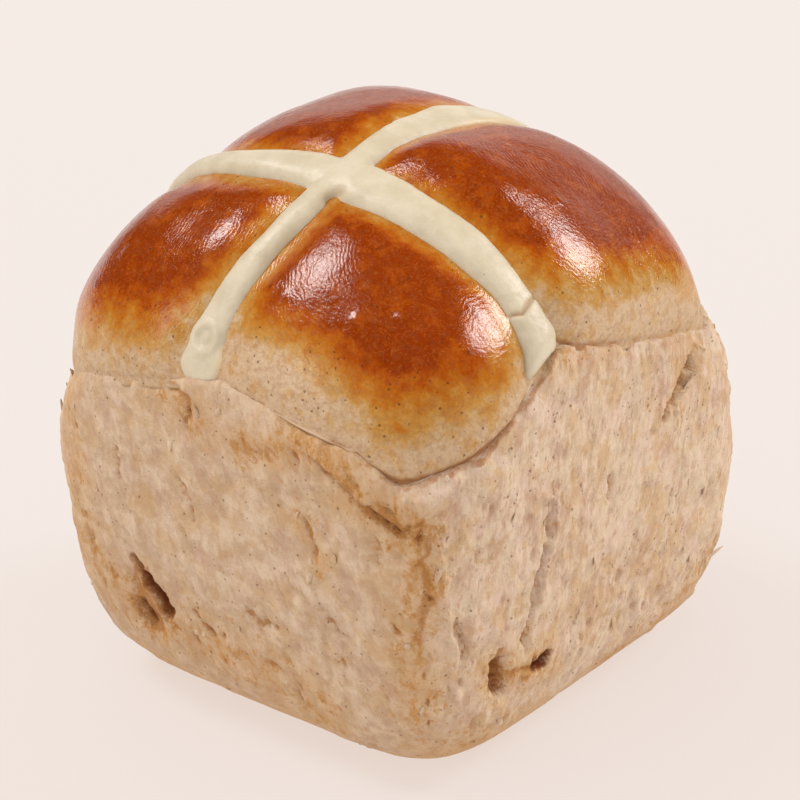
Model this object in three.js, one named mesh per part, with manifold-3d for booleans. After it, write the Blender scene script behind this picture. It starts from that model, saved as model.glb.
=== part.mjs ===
// A hot cross bun, baked against its neighbours and torn off the batch: a soft block with
// four torn crumb faces, a domed crust that has risen into four lobes, and a piped paste cross.
//
// Millimetres, +Z up. The origin is the middle of the bun's footprint, on the flat base. The front
// is -Y and the right is +X.
import * as THREE from "three";
import { mergeVertices } from "three/addons/utils/BufferGeometryUtils.js";
import Module from "manifold-3d";

const wasm = await Module();
wasm.setup();

// ---------------------------------------------------------------- driving dimensions

// The torn block: how far each torn face stands from the middle, at half height.
const REACH = { left: 38.4, right: 36.3, front: 38.0, back: 38.2 };
const CORNER_POWER = 5.9; // 2 would be an oval block, and a large number a sharp square one
const TAPER = 0.12; // how much narrower the block is at its base
const TAPER_TOP = 33; // the height where the taper has run out
const LEAN = { x: -0.5, y: -0.5 }; // how far the top leans over the base
const LEAN_HEIGHT = 75;
const BASE_ROUNDING = 12.3; // blend between the base and the faces

// The dome: a super-ellipsoid whose plan is squarish and whose profile is nearly an ellipse.
const DOME_CENTRE = new THREE.Vector3(-3.7, 2.9, 26.8);
const DOME_REACH = { left: 40.8, right: 47.5, front: 47.7, back: 38.0 };
const DOME_HEIGHT = 52.5;
const DOME_PLAN_POWER = 3.05;
const DOME_PROFILE_POWER = 2.14;
const DOME_ROUNDING = 1.6; // blend between the dome and the torn faces

// The cross lies in two shallow valleys between the lobes.
const VALLEY_DEPTH = 1.3;
const VALLEY_WIDTH = 5.2;

// The rim is where the crust ends and the torn crumb begins. It hangs low at the corners and
// arches up over each face: a bearing in degrees from +X, a height, and how the line rises
// from this station towards the next one (below 1 it rises early, above 1 late).
const RIM = [
  { bearing: -168, height: 54.0, ease: 1.1 },
  { bearing: -139, height: 45.4, ease: 0.8 },
  { bearing: -88, height: 55.3, ease: 0.62 },
  { bearing: -50, height: 46.9, ease: 1.8 },
  { bearing: -15, height: 58.4, ease: 1.0 },
  { bearing: 36, height: 48.6, ease: 0.8 },
  { bearing: 82, height: 55.5, ease: 1.3 },
  { bearing: 138, height: 46.5, ease: 0.9 },
];
const RIM_STEP = 0.8; // how far the torn crumb stands out past the edge of the crust
const RIM_STEP_FADE = 6; // the height over which the crust swells out past that step

// Hollows that tearing has left in the faces, each an ellipsoid dent along the face.
const HOLLOWS = [
  { at: [-15.6, -37.2, 20.4], across: 2.6, high: 5.0, deep: 4.6 },
  { at: [-19.0, -36.0, 14.2], across: 3.4, high: 2.4, deep: 2.0 },
  { at: [35.0, -14.8, 14.6], across: 2.4, high: 2.2, deep: 4.2 },
  { at: [35.0, -23.0, 17.0], across: 2.8, high: 3.6, deep: 2.2 },
  { at: [36.2, 19.4, 45.6], across: 2.2, high: 2.6, deep: 1.5 },
  { at: [36.2, 14.6, 42.0], across: 2.2, high: 3.0, deep: 1.5 },
  { at: [36.2, -14.2, 34.0], across: 1.8, high: 6.0, deep: 1.1 },
  { at: [36.0, -17.6, 24.6], across: 1.8, high: 5.5, deep: 1.1 },
  { at: [-37.6, 9.0, 25.0], across: 3.2, high: 5.5, deep: 3.0 },
  { at: [-37.0, -14.0, 37.0], across: 2.4, high: 4.5, deep: 1.8 },
  { at: [14.0, 37.8, 22.0], across: 3.0, high: 4.6, deep: 3.2 },
  { at: [-12.0, 38.0, 35.0], across: 2.4, high: 6.0, deep: 1.6 },
];

// A triangular flap of crumb hangs from the rim at the front right corner.
const FLAP = { at: [32.0, -32.6, 45.2], across: 3.6, high: 2.6, deep: -1.1 };

// Slow waves over the torn faces: height in mm, then waves per mm along the face and upwards.
const TORN_WAVES = [
  { swing: 0.3, along: 0.058, up: 0.011, shift: 0.1 },
  { swing: 0.18, along: 0.11, up: -0.024, shift: 0.6 },
  { swing: 0.3, along: 0.031, up: 0.034, shift: 0.35 },
];

// The piped paste: guide points near the surface, and half widths spread along the arm.
const PASTE_THICKNESS = 1.7;
const PASTE_EDGE = 0.35; // thickness left at the edges, as a share of the middle
const PASTE_GAP = 0.45; // clearance under the first arm
const PASTE_END = 0.04; // share of an arm's length over which its end is rounded
const ARMS = [
  {
    guide: [
      [-2.0, -39, 55.2], [-3.1, -37, 58.2], [-3.1, -34.6, 61.6], [-1.8, -31.5, 65.2], [-0.3, -27.6, 69],
      [1.0, -23, 72.3], [2.3, -16, 75.8], [2.8, -8, 78.3], [2.7, 0, 79], [3.3, 10, 78.4],
      [4.2, 24, 71.5], [4.8, 34, 59], [5, 38, 52],
    ],
    halfWidths: [4.7, 3.1, 2.3, 2.6, 3.2, 3.9, 4.0, 4.0, 4.0, 4.0],
    lift: 0,
  },
  {
    guide: [
      [-38.8, -9.8, 53.5], [-33, -10.3, 62.5], [-26, -12.1, 70], [-19, -14.4, 74], [-12, -14.7, 76],
      [-3, -14, 77.3], [8.8, -13.7, 76.3], [15.8, -13.2, 74.1], [22, -12.1, 71.2], [28.6, -11.4, 66.2],
      [33.2, -11.5, 60.9], [35.4, -12.3, 59], [36.2, -13.3, 57.7],
    ],
    halfWidths: [2.3, 2.3, 2.3, 2.5, 3.2, 4.1, 3.9, 3.7, 3.2, 3.4],
    lift: 0.15, // piped second, so it rides over the first arm
  },
];

// Mesh fineness.
const BUN_SEGMENTS = 28; // along each edge of the cube that is blown up into the bun
const ARM_SEGMENTS_ALONG = 42;
const ARM_SEGMENTS_ACROSS = 6;

// The shape is drawn about the middle of the torn block, then moved to stand over the origin.
const CENTRING = new THREE.Vector3(1.1, -0.15, 0);

// ---------------------------------------------------------------- small maths

const HEART = new THREE.Vector3(0, 0, 33); // every point of the surface can be seen from here
const SEARCH_NEAR = 5;
const SEARCH_FAR = 95;
const SEARCH_STEPS = 34;

function smoothMax(a, b, blend) {
  const overlap = Math.max(blend - Math.abs(a - b), 0) / blend;
  return Math.max(a, b) + (overlap * overlap * blend) / 4;
}

function powerNorm(a, b, power) {
  return (a ** power + b ** power) ** (1 / power);
}

function smoothStep(low, high, value) {
  return THREE.MathUtils.smoothstep(value, low, high);
}

// Distance from a point to a guide line, measured in plan.
function planDistance(points, x, y) {
  let nearest = Infinity;
  for (let i = 1; i < points.length; i += 1) {
    const [ax, ay] = points[i - 1];
    const [bx, by] = points[i];
    const share = ((x - ax) * (bx - ax) + (y - ay) * (by - ay)) / ((bx - ax) ** 2 + (by - ay) ** 2);
    const t = THREE.MathUtils.clamp(share, 0, 1);
    nearest = Math.min(nearest, Math.hypot(x - ax - t * (bx - ax), y - ay - t * (by - ay)));
  }
  return nearest;
}

// ---------------------------------------------------------------- the bun's surface

// Height of the rim at a bearing: each pair of stations is joined by a power curve that starts
// from the lower of the two.
function rimHeight(x, y) {
  const bearing = THREE.MathUtils.radToDeg(Math.atan2(y, x));
  const count = RIM.length;
  for (let i = 0; i < count; i += 1) {
    const from = RIM[i];
    const to = RIM[(i + 1) % count];
    const span = THREE.MathUtils.euclideanModulo(to.bearing - from.bearing, 360);
    const turned = THREE.MathUtils.euclideanModulo(bearing - from.bearing, 360);
    if (turned <= span) {
      const share = turned / span;
      const rising = to.height > from.height;
      const t = rising ? share ** from.ease : 1 - (1 - share) ** from.ease;
      return from.height + (to.height - from.height) * t;
    }
  }
  return RIM[0].height;
}

// The torn faces, positive outside and negative inside, in about a millimetre of distance.
function tornBlock(p) {
  const lean = p.z / LEAN_HEIGHT - 0.5;
  const x = p.x - LEAN.x * lean;
  const y = p.y - LEAN.y * lean;
  const narrow = 1 - TAPER * Math.max(1 - p.z / TAPER_TOP, 0) ** 2;
  const across = Math.abs(x) / ((x > 0 ? REACH.right : REACH.left) * narrow);
  const along = Math.abs(y) / ((y > 0 ? REACH.back : REACH.front) * narrow);
  return (powerNorm(across, along, CORNER_POWER) - 1) * REACH.front;
}

// The dome without its lobes, in the same measure.
function plainDome(p) {
  const x = p.x - DOME_CENTRE.x;
  const y = p.y - DOME_CENTRE.y;
  const up = Math.max(p.z - DOME_CENTRE.z, 0) / DOME_HEIGHT;
  const across = Math.abs(x) / (x > 0 ? DOME_REACH.right : DOME_REACH.left);
  const along = Math.abs(y) / (y > 0 ? DOME_REACH.back : DOME_REACH.front);
  const plan = powerNorm(across, along, DOME_PLAN_POWER);
  return (powerNorm(plan, up, DOME_PROFILE_POWER) - 1) * DOME_REACH.left;
}

// How deep the surface lies under the dome's own, from the two valleys of the cross.
function valleyDepth(p) {
  const nearest = Math.min(...ARMS.map((arm) => planDistance(arm.guide, p.x, p.y)));
  const onTop = smoothStep(38, 52, p.z);
  return VALLEY_DEPTH * Math.exp(-((nearest / VALLEY_WIDTH) ** 4)) * onTop;
}

// A dent, or with a negative depth a bump, centred on one spot of the surface.
function dent(p, { at, across, high, deep }) {
  const [x, y, z] = at;
  const aside = Math.hypot(p.x - x, p.y - y) / across;
  const above = (p.z - z) / high;
  return deep * Math.exp(-(aside ** 2) - above ** 2);
}

// The torn crumb's slow waves, which run up the faces.
function tornWaves(p) {
  const along = (Math.atan2(p.y, p.x) * REACH.front * 4) / Math.PI;
  let depth = 0;
  for (const wave of TORN_WAVES) {
    depth += wave.swing * Math.sin(2 * Math.PI * (along * wave.along + p.z * wave.up + wave.shift));
  }
  return depth;
}

// The whole bun: positive outside, negative inside.
function bunSurface(p) {
  const aboveRim = p.z - rimHeight(p.x, p.y);
  const torn = 1 - smoothStep(-1.5, 1.5, aboveRim);
  const onFace = smoothStep(3, 12, p.z);
  const step = RIM_STEP * (1 - torn) * Math.exp(-Math.max(aboveRim, 0) / RIM_STEP_FADE);
  const dome = plainDome(p) + valleyDepth(p);
  let depth = step + tornWaves(p) * torn * onFace + dent(p, FLAP);
  for (const hollow of HOLLOWS) {
    depth += dent(p, hollow);
  }
  const side = tornBlock(p);
  const skin = smoothMax(side, dome, DOME_ROUNDING) + depth;
  return smoothMax(skin, -p.z, BASE_ROUNDING);
}

// How far the surface lies from the heart in a direction.
function radiusTowards(direction) {
  let near = SEARCH_NEAR;
  let far = SEARCH_FAR;
  const probe = new THREE.Vector3();
  for (let i = 0; i < SEARCH_STEPS; i += 1) {
    const middle = (near + far) / 2;
    probe.copy(direction).multiplyScalar(middle).add(HEART);
    if (bunSurface(probe) > 0) {
      far = middle;
    } else {
      near = middle;
    }
  }
  return (near + far) / 2;
}

// ---------------------------------------------------------------- geometry helpers

// Only positions, with shared corners merged, as the solids need.
function weld(geometry) {
  geometry.deleteAttribute("normal");
  geometry.deleteAttribute("uv");
  return mergeVertices(geometry, 1e-5);
}

function reshape(geometry, move) {
  const welded = weld(geometry);
  const position = welded.attributes.position;
  const point = new THREE.Vector3();
  for (let i = 0; i < position.count; i += 1) {
    point.fromBufferAttribute(position, i);
    move(point);
    position.setXYZ(i, point.x, point.y, point.z);
  }
  return welded;
}

function toSolid(geometry) {
  const mesh = new wasm.Mesh({
    numProp: 3,
    vertProperties: new Float32Array(geometry.attributes.position.array),
    triVerts: new Uint32Array(geometry.index.array),
  });
  return new wasm.Manifold(mesh);
}

function toGeometry(solid) {
  const mesh = solid.getMesh();
  const geometry = new THREE.BufferGeometry();
  geometry.setAttribute("position", new THREE.BufferAttribute(mesh.vertProperties, mesh.numProp));
  geometry.setIndex(new THREE.BufferAttribute(mesh.triVerts, 1));
  geometry.computeVertexNormals();
  return geometry;
}

// ---------------------------------------------------------------- the bun

// A cube is blown up from the heart until each of its points meets the surface.
function makeBun() {
  const cube = new THREE.BoxGeometry(2, 2, 2, BUN_SEGMENTS, BUN_SEGMENTS, BUN_SEGMENTS);
  const geometry = reshape(cube, (point) => {
    for (const axis of ["x", "y", "z"]) {
      point[axis] = Math.tan((point[axis] * Math.PI) / 4); // evens out the spacing
    }
    point.normalize();
    point.multiplyScalar(radiusTowards(point)).add(HEART);
    point.z = Math.abs(point.z) < 1e-3 ? 0 : point.z; // the base is exactly flat
  });
  geometry.computeVertexNormals();
  const crumb = new THREE.MeshStandardMaterial({ color: 0xd3ab80, roughness: 0.75, metalness: 0 });
  const bun = new THREE.Mesh(geometry, crumb);
  bun.name = "bun";
  return bun;
}

// ---------------------------------------------------------------- the cross

function spread(values, share) {
  const place = share * (values.length - 1);
  const index = Math.min(Math.floor(place), values.length - 2);
  return THREE.MathUtils.lerp(values[index], values[index + 1], place - index);
}

// One arm: a flat bar that is bent along its guide and laid on the bun, rounded on top.
function makeArm(arm) {
  const guide = new THREE.CatmullRomCurve3(arm.guide.map((point) => new THREE.Vector3(...point)));
  const bar = new THREE.BoxGeometry(2, 1, 1, ARM_SEGMENTS_ACROSS, ARM_SEGMENTS_ALONG, 1);
  return reshape(bar, (point) => {
    const across = point.x; // -1 to 1
    const share = point.y + 0.5; // 0 to 1 along the arm
    const isTop = point.z > 0;
    const outward = guide.getPointAt(share).sub(HEART).normalize();
    const aside = new THREE.Vector3().crossVectors(guide.getTangentAt(share), outward).normalize();
    const fromEnd = Math.min(share, 1 - share) / PASTE_END;
    const rounding = fromEnd < 1 ? Math.sqrt(1 - (1 - fromEnd) ** 2 * 0.75) : 1;
    const offset = across * spread(arm.halfWidths, share) * rounding;
    const direction = guide.getPointAt(share).addScaledVector(aside, offset).sub(HEART).normalize();
    const crown = PASTE_EDGE + (1 - PASTE_EDGE) * Math.sqrt(1 - across * across) * rounding;
    const height = PASTE_GAP + arm.lift + (isTop ? PASTE_THICKNESS * crown : 0);
    point.copy(direction).multiplyScalar(radiusTowards(direction) + height).add(HEART);
  });
}

function makeCross() {
  const [first, second] = ARMS.map((arm) => toSolid(makeArm(arm)));
  const paste = new THREE.MeshStandardMaterial({ color: 0xe0d2ae, roughness: 0.6, metalness: 0 });
  const cross = new THREE.Mesh(toGeometry(first.add(second)), paste);
  cross.name = "cross";
  return cross;
}

const hotCrossBun = new THREE.Group();
hotCrossBun.add(makeBun(), makeCross());
hotCrossBun.position.copy(CENTRING);

export default hotCrossBun;
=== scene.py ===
# %% [markdown]
# # A hot cross bun, torn from its batch
# The bun was baked pressed against its neighbours and then pulled free. So it has four torn faces
# of soft crumb, a glazed brown dome that rose into four lobes, and a piped cross of flour paste.
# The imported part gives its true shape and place. This lesson lays a finely detailed crumb, crust
# and cross over that shape, and then gives each of them its own finish.

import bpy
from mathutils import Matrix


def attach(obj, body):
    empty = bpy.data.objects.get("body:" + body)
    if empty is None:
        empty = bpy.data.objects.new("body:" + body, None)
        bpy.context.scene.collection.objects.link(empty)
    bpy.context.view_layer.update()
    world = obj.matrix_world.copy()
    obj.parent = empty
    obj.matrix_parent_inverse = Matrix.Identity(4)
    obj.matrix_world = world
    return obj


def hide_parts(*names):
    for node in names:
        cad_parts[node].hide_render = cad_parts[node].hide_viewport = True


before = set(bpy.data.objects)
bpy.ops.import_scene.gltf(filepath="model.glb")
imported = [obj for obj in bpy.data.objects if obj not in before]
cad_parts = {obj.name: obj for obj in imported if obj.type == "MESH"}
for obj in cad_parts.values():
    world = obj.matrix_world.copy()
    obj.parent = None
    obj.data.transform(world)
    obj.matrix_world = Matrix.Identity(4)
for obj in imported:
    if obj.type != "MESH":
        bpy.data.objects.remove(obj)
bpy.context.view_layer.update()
print("nodes in the part:", sorted(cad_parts))

# %% Bring in the tools
import itertools
import math

import bpy
import numpy as np
from mathutils import Matrix, Vector

MM = 0.001  # Blender works in metres, and a baker's sizes are easier to read in millimetres

# %% [markdown]
# ## The room
# The bun is drawn about the middle of its torn block, and the part stands a little beside that, so
# every piece and the camera move by the same small step. The camera has a long lens and looks down
# a little over the front corner, so that two torn faces and the whole cross can be seen.

# %% Set up the camera
CENTRING = np.array([1.1, -0.15, 0.0])
CAMERA_TURN = math.radians(41.4)  # round the bun, from its front towards its right
CAMERA_RISE = math.radians(24.79)
CAMERA_ROLL = math.radians(-2.7)
CAMERA_DISTANCE = 380.65
AIM_SIDEWAYS = -0.47
AIM_HEIGHT = 37.85
LENS = 121.86
SENSOR = 36.0


def towards(turn, rise):
    """The direction from the bun to something that stands round it at a turn and a rise."""
    return Vector(
        (math.sin(turn) * math.cos(rise), -math.cos(turn) * math.cos(rise), math.sin(rise))
    )


def look_from(turn, rise, roll):
    """The camera's level, right, up and backward directions."""
    backward = towards(turn, rise)
    level = Vector((math.cos(turn), math.sin(turn), 0.0))
    upright = backward.cross(level)
    right = level * math.cos(roll) + upright * math.sin(roll)
    up = upright * math.cos(roll) - level * math.sin(roll)
    return level, right, up, backward


def set_camera():
    level, right, up, backward = look_from(CAMERA_TURN, CAMERA_RISE, CAMERA_ROLL)
    aim = level * AIM_SIDEWAYS + Vector((0.0, 0.0, AIM_HEIGHT)) + Vector(CENTRING)
    place = (aim + backward * CAMERA_DISTANCE) * MM
    camera = bpy.data.objects.new("camera", bpy.data.cameras.new("camera"))
    camera.data.lens = LENS
    camera.data.sensor_width = SENSOR
    camera.data.clip_start = 0.01
    turned = Matrix((right, up, backward)).transposed().to_4x4()
    camera.matrix_world = Matrix.Translation(place) @ turned
    bpy.context.scene.collection.objects.link(camera)
    bpy.context.scene.camera = camera
    return camera


camera = set_camera()
print("camera stands at, in mm:", [round(value / MM) for value in camera.location])

# %% [markdown]
# Bread looks best in soft light. One large softbox hangs high on the left and draws the round
# shines on the lobes, and a second stands low behind on the right and draws the shines that face
# it. Two weak ones add faint shines, two fills light the torn faces without showing in the glaze,
# and a pale world lifts every shadow. A softbox is told by how wide it looks from the bun and how
# brightly it glows, because that is what a shine shows. They all stand far away, so the floor is
# lit evenly. The plain colour transform keeps the warm browns as mixed.

# %% Light the room
LIGHT_REACH = 4.0


def paint(red, green, blue):
    """A colour named by its screen values, 0 to 255, in the linear scale that shaders use."""
    screen = np.array([red, green, blue]) / 255
    linear = np.where(screen <= 0.04045, screen / 12.92, ((screen + 0.055) / 1.055) ** 2.4)
    return (*linear.tolist(), 1.0)


def softbox(name, turn, rise, looks, glow, in_shines=True):
    """A lamp at a turn and a rise, so many degrees wide and high, glowing so brightly."""
    direction = towards(math.radians(turn), math.radians(rise))
    lamp = bpy.data.lights.new(name, "AREA")
    lamp.shape = "RECTANGLE"
    halves = [math.radians(angle / 2) for angle in looks]
    lamp.size, lamp.size_y = (2 * LIGHT_REACH * math.tan(half) for half in halves)
    lamp.energy = glow * math.pi * lamp.size * lamp.size_y
    lamp.color = paint(255, 250, 246)[:3]
    holder = bpy.data.objects.new(name, lamp)
    holder.location = direction * LIGHT_REACH + Vector((0, 0, AIM_HEIGHT * MM))
    holder.rotation_euler = direction.to_track_quat("Z", "Y").to_euler()
    holder.visible_glossy = in_shines
    bpy.context.scene.collection.objects.link(holder)
    print(f"{name}: {lamp.size:.1f} by {lamp.size_y:.1f} m, {lamp.energy:.0f} W")


softbox("key_softbox", -70, 54, (18, 18), 15.0)
softbox("back_softbox", 152, 32, (18, 21), 14.0)
softbox("front_softbox", -28, 22, (28, 18), 2.2)
softbox("far_softbox", 215, 14, (70, 18), 0.9)
softbox("front_fill", -5, 10, (60, 30), 0.65, in_shines=False)
softbox("side_fill", 85, 10, (60, 30), 1.45, in_shines=False)

world = bpy.data.worlds.new("pale_room")
bpy.context.scene.world = world
world.use_nodes = True
room_light = world.node_tree.nodes["Background"].inputs
room_light["Color"].default_value = paint(255, 252, 250)
room_light["Strength"].default_value = 0.78
world.cycles_visibility.glossy = False  # the room fills the shadows but doesn't dull the glaze
bpy.context.scene.view_settings.view_transform = "Standard"

# %% [markdown]
# ## A short way to write shaders
# A shader is a sum of small steps, and joining each step by hand hides the recipe. Here a wire
# wraps one socket, and adding or multiplying wires adds the Math node that does it. Every other
# node comes from one method, which takes the node's kind, what its sockets hold and its settings.

# %% Wires
class Wire:
    """One output of a shader node. Arithmetic on it adds Math nodes."""

    def __init__(self, finish, socket):
        self.finish = finish
        self.socket = socket

    def math(self, operation, *values):
        return self.finish.node("ShaderNodeMath", dict(enumerate(values)), operation=operation)

    def __add__(self, other):
        return self.math("ADD", self, other)

    def __sub__(self, other):
        return self.math("SUBTRACT", self, other)

    def __rsub__(self, other):
        return self.math("SUBTRACT", other, self)

    def __mul__(self, other):
        return self.math("MULTIPLY", self, other)

    def sine(self):
        return self.math("SINE", self)

    def between(self, low, high):
        """0 below low, 1 above high, and a smooth rise from one to the other."""
        sockets = {"Value": self, "From Min": low, "From Max": high}
        return self.finish.node("ShaderNodeMapRange", sockets, interpolation_type="SMOOTHSTEP")


# %% Finishes
class Finish:
    """A material, with one method that adds any node."""

    def __init__(self, name):
        self.material = bpy.data.materials.new(name)
        self.material.use_nodes = True
        self.tree = self.material.node_tree
        self.tree.nodes.clear()

    def node(self, kind, sockets, out=0, **settings):
        made = self.tree.nodes.new(kind)
        for name, value in settings.items():
            if name == "stops":
                self.set_stops(made.color_ramp, value)
            else:
                setattr(made, name, value)
        for name, value in sockets.items():
            if isinstance(value, Wire):
                self.tree.links.new(value.socket, made.inputs[name])
            else:
                made.inputs[name].default_value = value
        return Wire(self, made.outputs[out])

    @staticmethod
    def set_stops(ramp, stops):
        while len(ramp.elements) < len(stops):
            ramp.elements.new(0.5)
        for element, (place, colour) in zip(ramp.elements, stops):
            element.position = place
            element.color = colour

    def blend(self, share, start, end, kind="MIX"):
        """A colour that goes from start to end as share goes from 0 to 1."""
        sockets = {0: share, 6: start, 7: end}
        return self.node("ShaderNodeMix", sockets, 2, data_type="RGBA", blend_type=kind)

    def coats(self, colour, coats):
        """Lays coats over a colour: the share that each covers, its tint, and how it blends."""
        for share, tint, *kind in coats:
            colour = self.blend(share, colour, paint(*tint), *kind)
        return colour

    def attribute(self, name):
        return self.node("ShaderNodeAttribute", {}, "Fac", attribute_name=name)

    def noise(self, place, grain, detail=3.0, roughness=0.55, out="Fac"):
        """Soft random values about 0.5, with hills of a grain's size in millimetres."""
        sockets = {"Vector": place, "Scale": 1 / grain, "Detail": detail, "Roughness": roughness}
        return self.node("ShaderNodeTexNoise", sockets, out)

    def stir(self, place, grain, distance):
        """The same places, each pushed a little its own way, so that what is drawn is uneven."""
        sockets = {0: self.noise(place, grain, 2.0, out="Color"), 1: (distance,) * 3, 2: place}
        return self.node("ShaderNodeVectorMath", sockets, operation="MULTIPLY_ADD")

    def cells(self, place, grain, out="Distance"):
        """Cells about a grain across: the distance from their hearts, or their own colours."""
        return self.node("ShaderNodeTexVoronoi", {"Vector": place, "Scale": 1 / grain}, out)

    def place(self):
        """Where a point of the piece is, in millimetres."""
        sockets = {0: self.node("ShaderNodeTexCoord", {}, "Object"), "Scale": 1 / MM}
        return self.node("ShaderNodeVectorMath", sockets, operation="SCALE")

    def split(self, vector):
        apart = self.node("ShaderNodeSeparateXYZ", {0: vector}).socket.node
        return [Wire(self, output) for output in apart.outputs]

    def join(self, x, y, z):
        return self.node("ShaderNodeCombineXYZ", {0: x, 1: y, 2: z})

    def bump(self, height, depth):
        """A normal that leans as if the surface rose by height, times a depth in millimetres."""
        return self.node("ShaderNodeBump", {"Height": height, "Distance": depth * MM})

    @staticmethod
    def light_inside(weight, spread, depth):
        """How much light passes under the surface, how far each colour goes, and how deep in mm."""
        values = {"Weight": weight, "Radius": spread, "Scale": depth * MM}
        return {"Subsurface_" + name: value for name, value in values.items()}

    def close(self, colour, roughness, sheen, **more):
        """Ends the recipe with the one shader that shows it. More sockets go by their names."""
        sockets = {"Base Color": colour, "Roughness": roughness, "Specular IOR Level": sheen}
        sockets |= {name.replace("_", " "): value for name, value in more.items()}
        shader = self.node("ShaderNodeBsdfPrincipled", sockets)
        end = self.tree.nodes.new("ShaderNodeOutputMaterial")
        self.tree.links.new(shader.socket, end.inputs["Surface"])
        print(self.material.name, "has", len(self.tree.nodes), "nodes")
        return self.material


# %% [markdown]
# ## The floor
# A bun for a shelf is shown on something that doesn't compete with it, so it stands on a wide, flat
# sheet of pale card. The card glows a little by itself, a painted warm glow that keeps the shadow
# under the bun pale. It is part of the room and not of the bun.

# %% Lay the floor
FLOOR_HALF = 4.0


def lay_floor():
    signs = ((-1, -1), (1, -1), (1, 1), (-1, 1))
    corners = [(x * FLOOR_HALF, y * FLOOR_HALF, 0.0) for x, y in signs]
    mesh = bpy.data.meshes.new("floor")
    mesh.from_pydata(corners, [], [(0, 1, 2, 3)])
    floor = bpy.data.objects.new("floor", mesh)
    bpy.context.scene.collection.objects.link(floor)
    card = Finish("glowing_pale_card")
    mottle = card.noise(card.place(), 2.0)
    # The card's own colour is a cool grey; most of its brightness is the painted warm glow below.
    colour = card.blend(mottle, paint(98, 108, 113), paint(101, 111, 116))
    glow = {"Emission_Color": paint(207, 191, 182), "Emission_Strength": 1.15}
    mesh.materials.append(card.close(colour, 0.9, 0.1, **glow))


lay_floor()

# %% [markdown]
# ## The bun's own shape
# The source of the part draws the bun as two skins that meet: a block of torn faces and a dome. The
# same named sizes are repeated here, in millimetres, so that the fine pieces lie where the
# part's solids lie.

# %% Sizes of the block and the dome
REACH = {"left": 38.4, "right": 36.3, "front": 38.0, "back": 38.2}
CORNER_POWER = 5.9  # 2 would be an oval block, and a large number a sharp square one
TAPER = 0.12
TAPER_TOP = 33.0
LEAN = (-0.5, -0.5)
LEAN_HEIGHT = 75.0
BASE_ROUNDING = 12.3

DOME_CENTRE = (-3.7, 2.9, 26.8)
DOME_REACH = {"left": 40.8, "right": 47.5, "front": 47.7, "back": 38.0}
DOME_HEIGHT = 52.5
DOME_PLAN_POWER = 3.05
DOME_PROFILE_POWER = 2.14
DOME_ROUNDING = 1.6
VALLEY_DEPTH = 1.3
VALLEY_WIDTH = 5.2

# The rim: a bearing in degrees from the right, a height, and how the line rises to the next one.
RIM = [
    (-168, 54.0, 1.1), (-139, 45.4, 0.8), (-88, 55.3, 0.85), (-57, 50.3, 1.4), (-50, 47.4, 1.8),
    (-15, 58.4, 1.0), (36, 48.6, 0.8), (82, 55.5, 1.3), (138, 46.5, 0.9),
]
RIM_STEP = 0.35

# The arms of the cross: points that the paste follows, and its half widths along the way.
ARM_ALONG = {
    "guide": [
        (-2.0, -39, 55.2), (-3.1, -37.0, 58.2), (-3.1, -34.6, 61.6), (-1.8, -31.5, 65.2),
        (-0.3, -27.6, 69.0), (1.0, -23, 72.3), (2.3, -16, 75.8), (2.8, -8, 78.3), (2.7, 0, 79),
        (3.3, 10, 78.4), (4.2, 24, 71.5), (4.8, 34, 59), (5, 38, 52),
    ],
    "half_widths": [4.7, 3.1, 2.3, 2.6, 3.2, 3.9, 4.0, 4.0, 4.0, 4.0],
}
ARM_ACROSS = {
    "guide": [
        (-38.8, -9.8, 53.5), (-33, -10.3, 62.5), (-26, -12.1, 70), (-19, -14.4, 74),
        (-12, -14.7, 76), (-3, -14.0, 77.3), (8.8, -13.7, 76.3), (15.8, -13.2, 74.1),
        (22, -12.1, 71.2), (28.6, -11.4, 66.2), (33.2, -11.5, 60.9), (35.4, -12.3, 59.0),
        (36.2, -13.3, 57.7),
    ],
    "half_widths": [2.3, 2.3, 2.3, 2.5, 3.2, 4.1, 3.9, 3.7, 3.2, 3.4],
}
ARMS = (ARM_ALONG, ARM_ACROSS)
rim_heights = [height for _, height, _ in RIM]
print("rim height, in mm:", min(rim_heights), "to", max(rim_heights))

# %% Small maths
HEART = np.array([0.0, 0.0, 33.0])  # every point of the skin can be seen from here


def smooth_step(low, high, value):
    part = np.clip((value - low) / (high - low), 0, 1)
    return part * part * (3 - 2 * part)


def smooth_max(a, b, blend):
    overlap = np.maximum(blend - np.abs(a - b), 0) / blend
    return np.maximum(a, b) + overlap**2 * blend / 4


def power_norm(a, b, power):
    return (a**power + b**power) ** (1 / power)


def share_of(value, low_reach, high_reach):
    """How far a value is out towards the reach on its own side."""
    return np.abs(value) / np.where(value > 0, high_reach, low_reach)


def bearing_of(points):
    return np.degrees(np.arctan2(points[..., 1], points[..., 0]))


def hill(value, middle, width):
    """1 at the middle, and fading to 0 on both sides."""
    return np.exp(-(((value - middle) / width) ** 2))


def mound(points, place, reach):
    """1 at a place, and fading to 0 all round it."""
    return hill(np.linalg.norm(points - place, axis=-1), 0, reach)


def normalised(vectors):
    return vectors / np.linalg.norm(vectors, axis=-1, keepdims=True)


def walk_lengths(lines):
    """How far along its line of points each of them lies."""
    steps = np.linalg.norm(np.diff(lines, axis=-2), axis=-1)
    return np.concatenate([np.zeros_like(steps[..., :1]), np.cumsum(steps, axis=-1)], axis=-1)


print("halfway up a smooth step is", smooth_step(0, 1, 0.5))


# %% [markdown]
# Each skin is a rule that says how far outside it a point lies. The surface is then found by going
# outwards from the bun's heart until the rule changes sign.

# %% The two skins
def rim_height(bearing):
    """Height of the edge of the crust: low at the corners, arched up over each face."""
    height = np.zeros_like(bearing)
    for (start, low, ease), (end, high, _) in zip(RIM, RIM[1:] + RIM[:1]):
        span = (end - start) % 360
        turned = (bearing - start) % 360
        share = np.clip(turned / span, 0, 1)
        rise = share**ease if high > low else 1 - (1 - share) ** ease
        height = np.where(turned <= span, low + (high - low) * rise, height)
    return height


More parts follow.
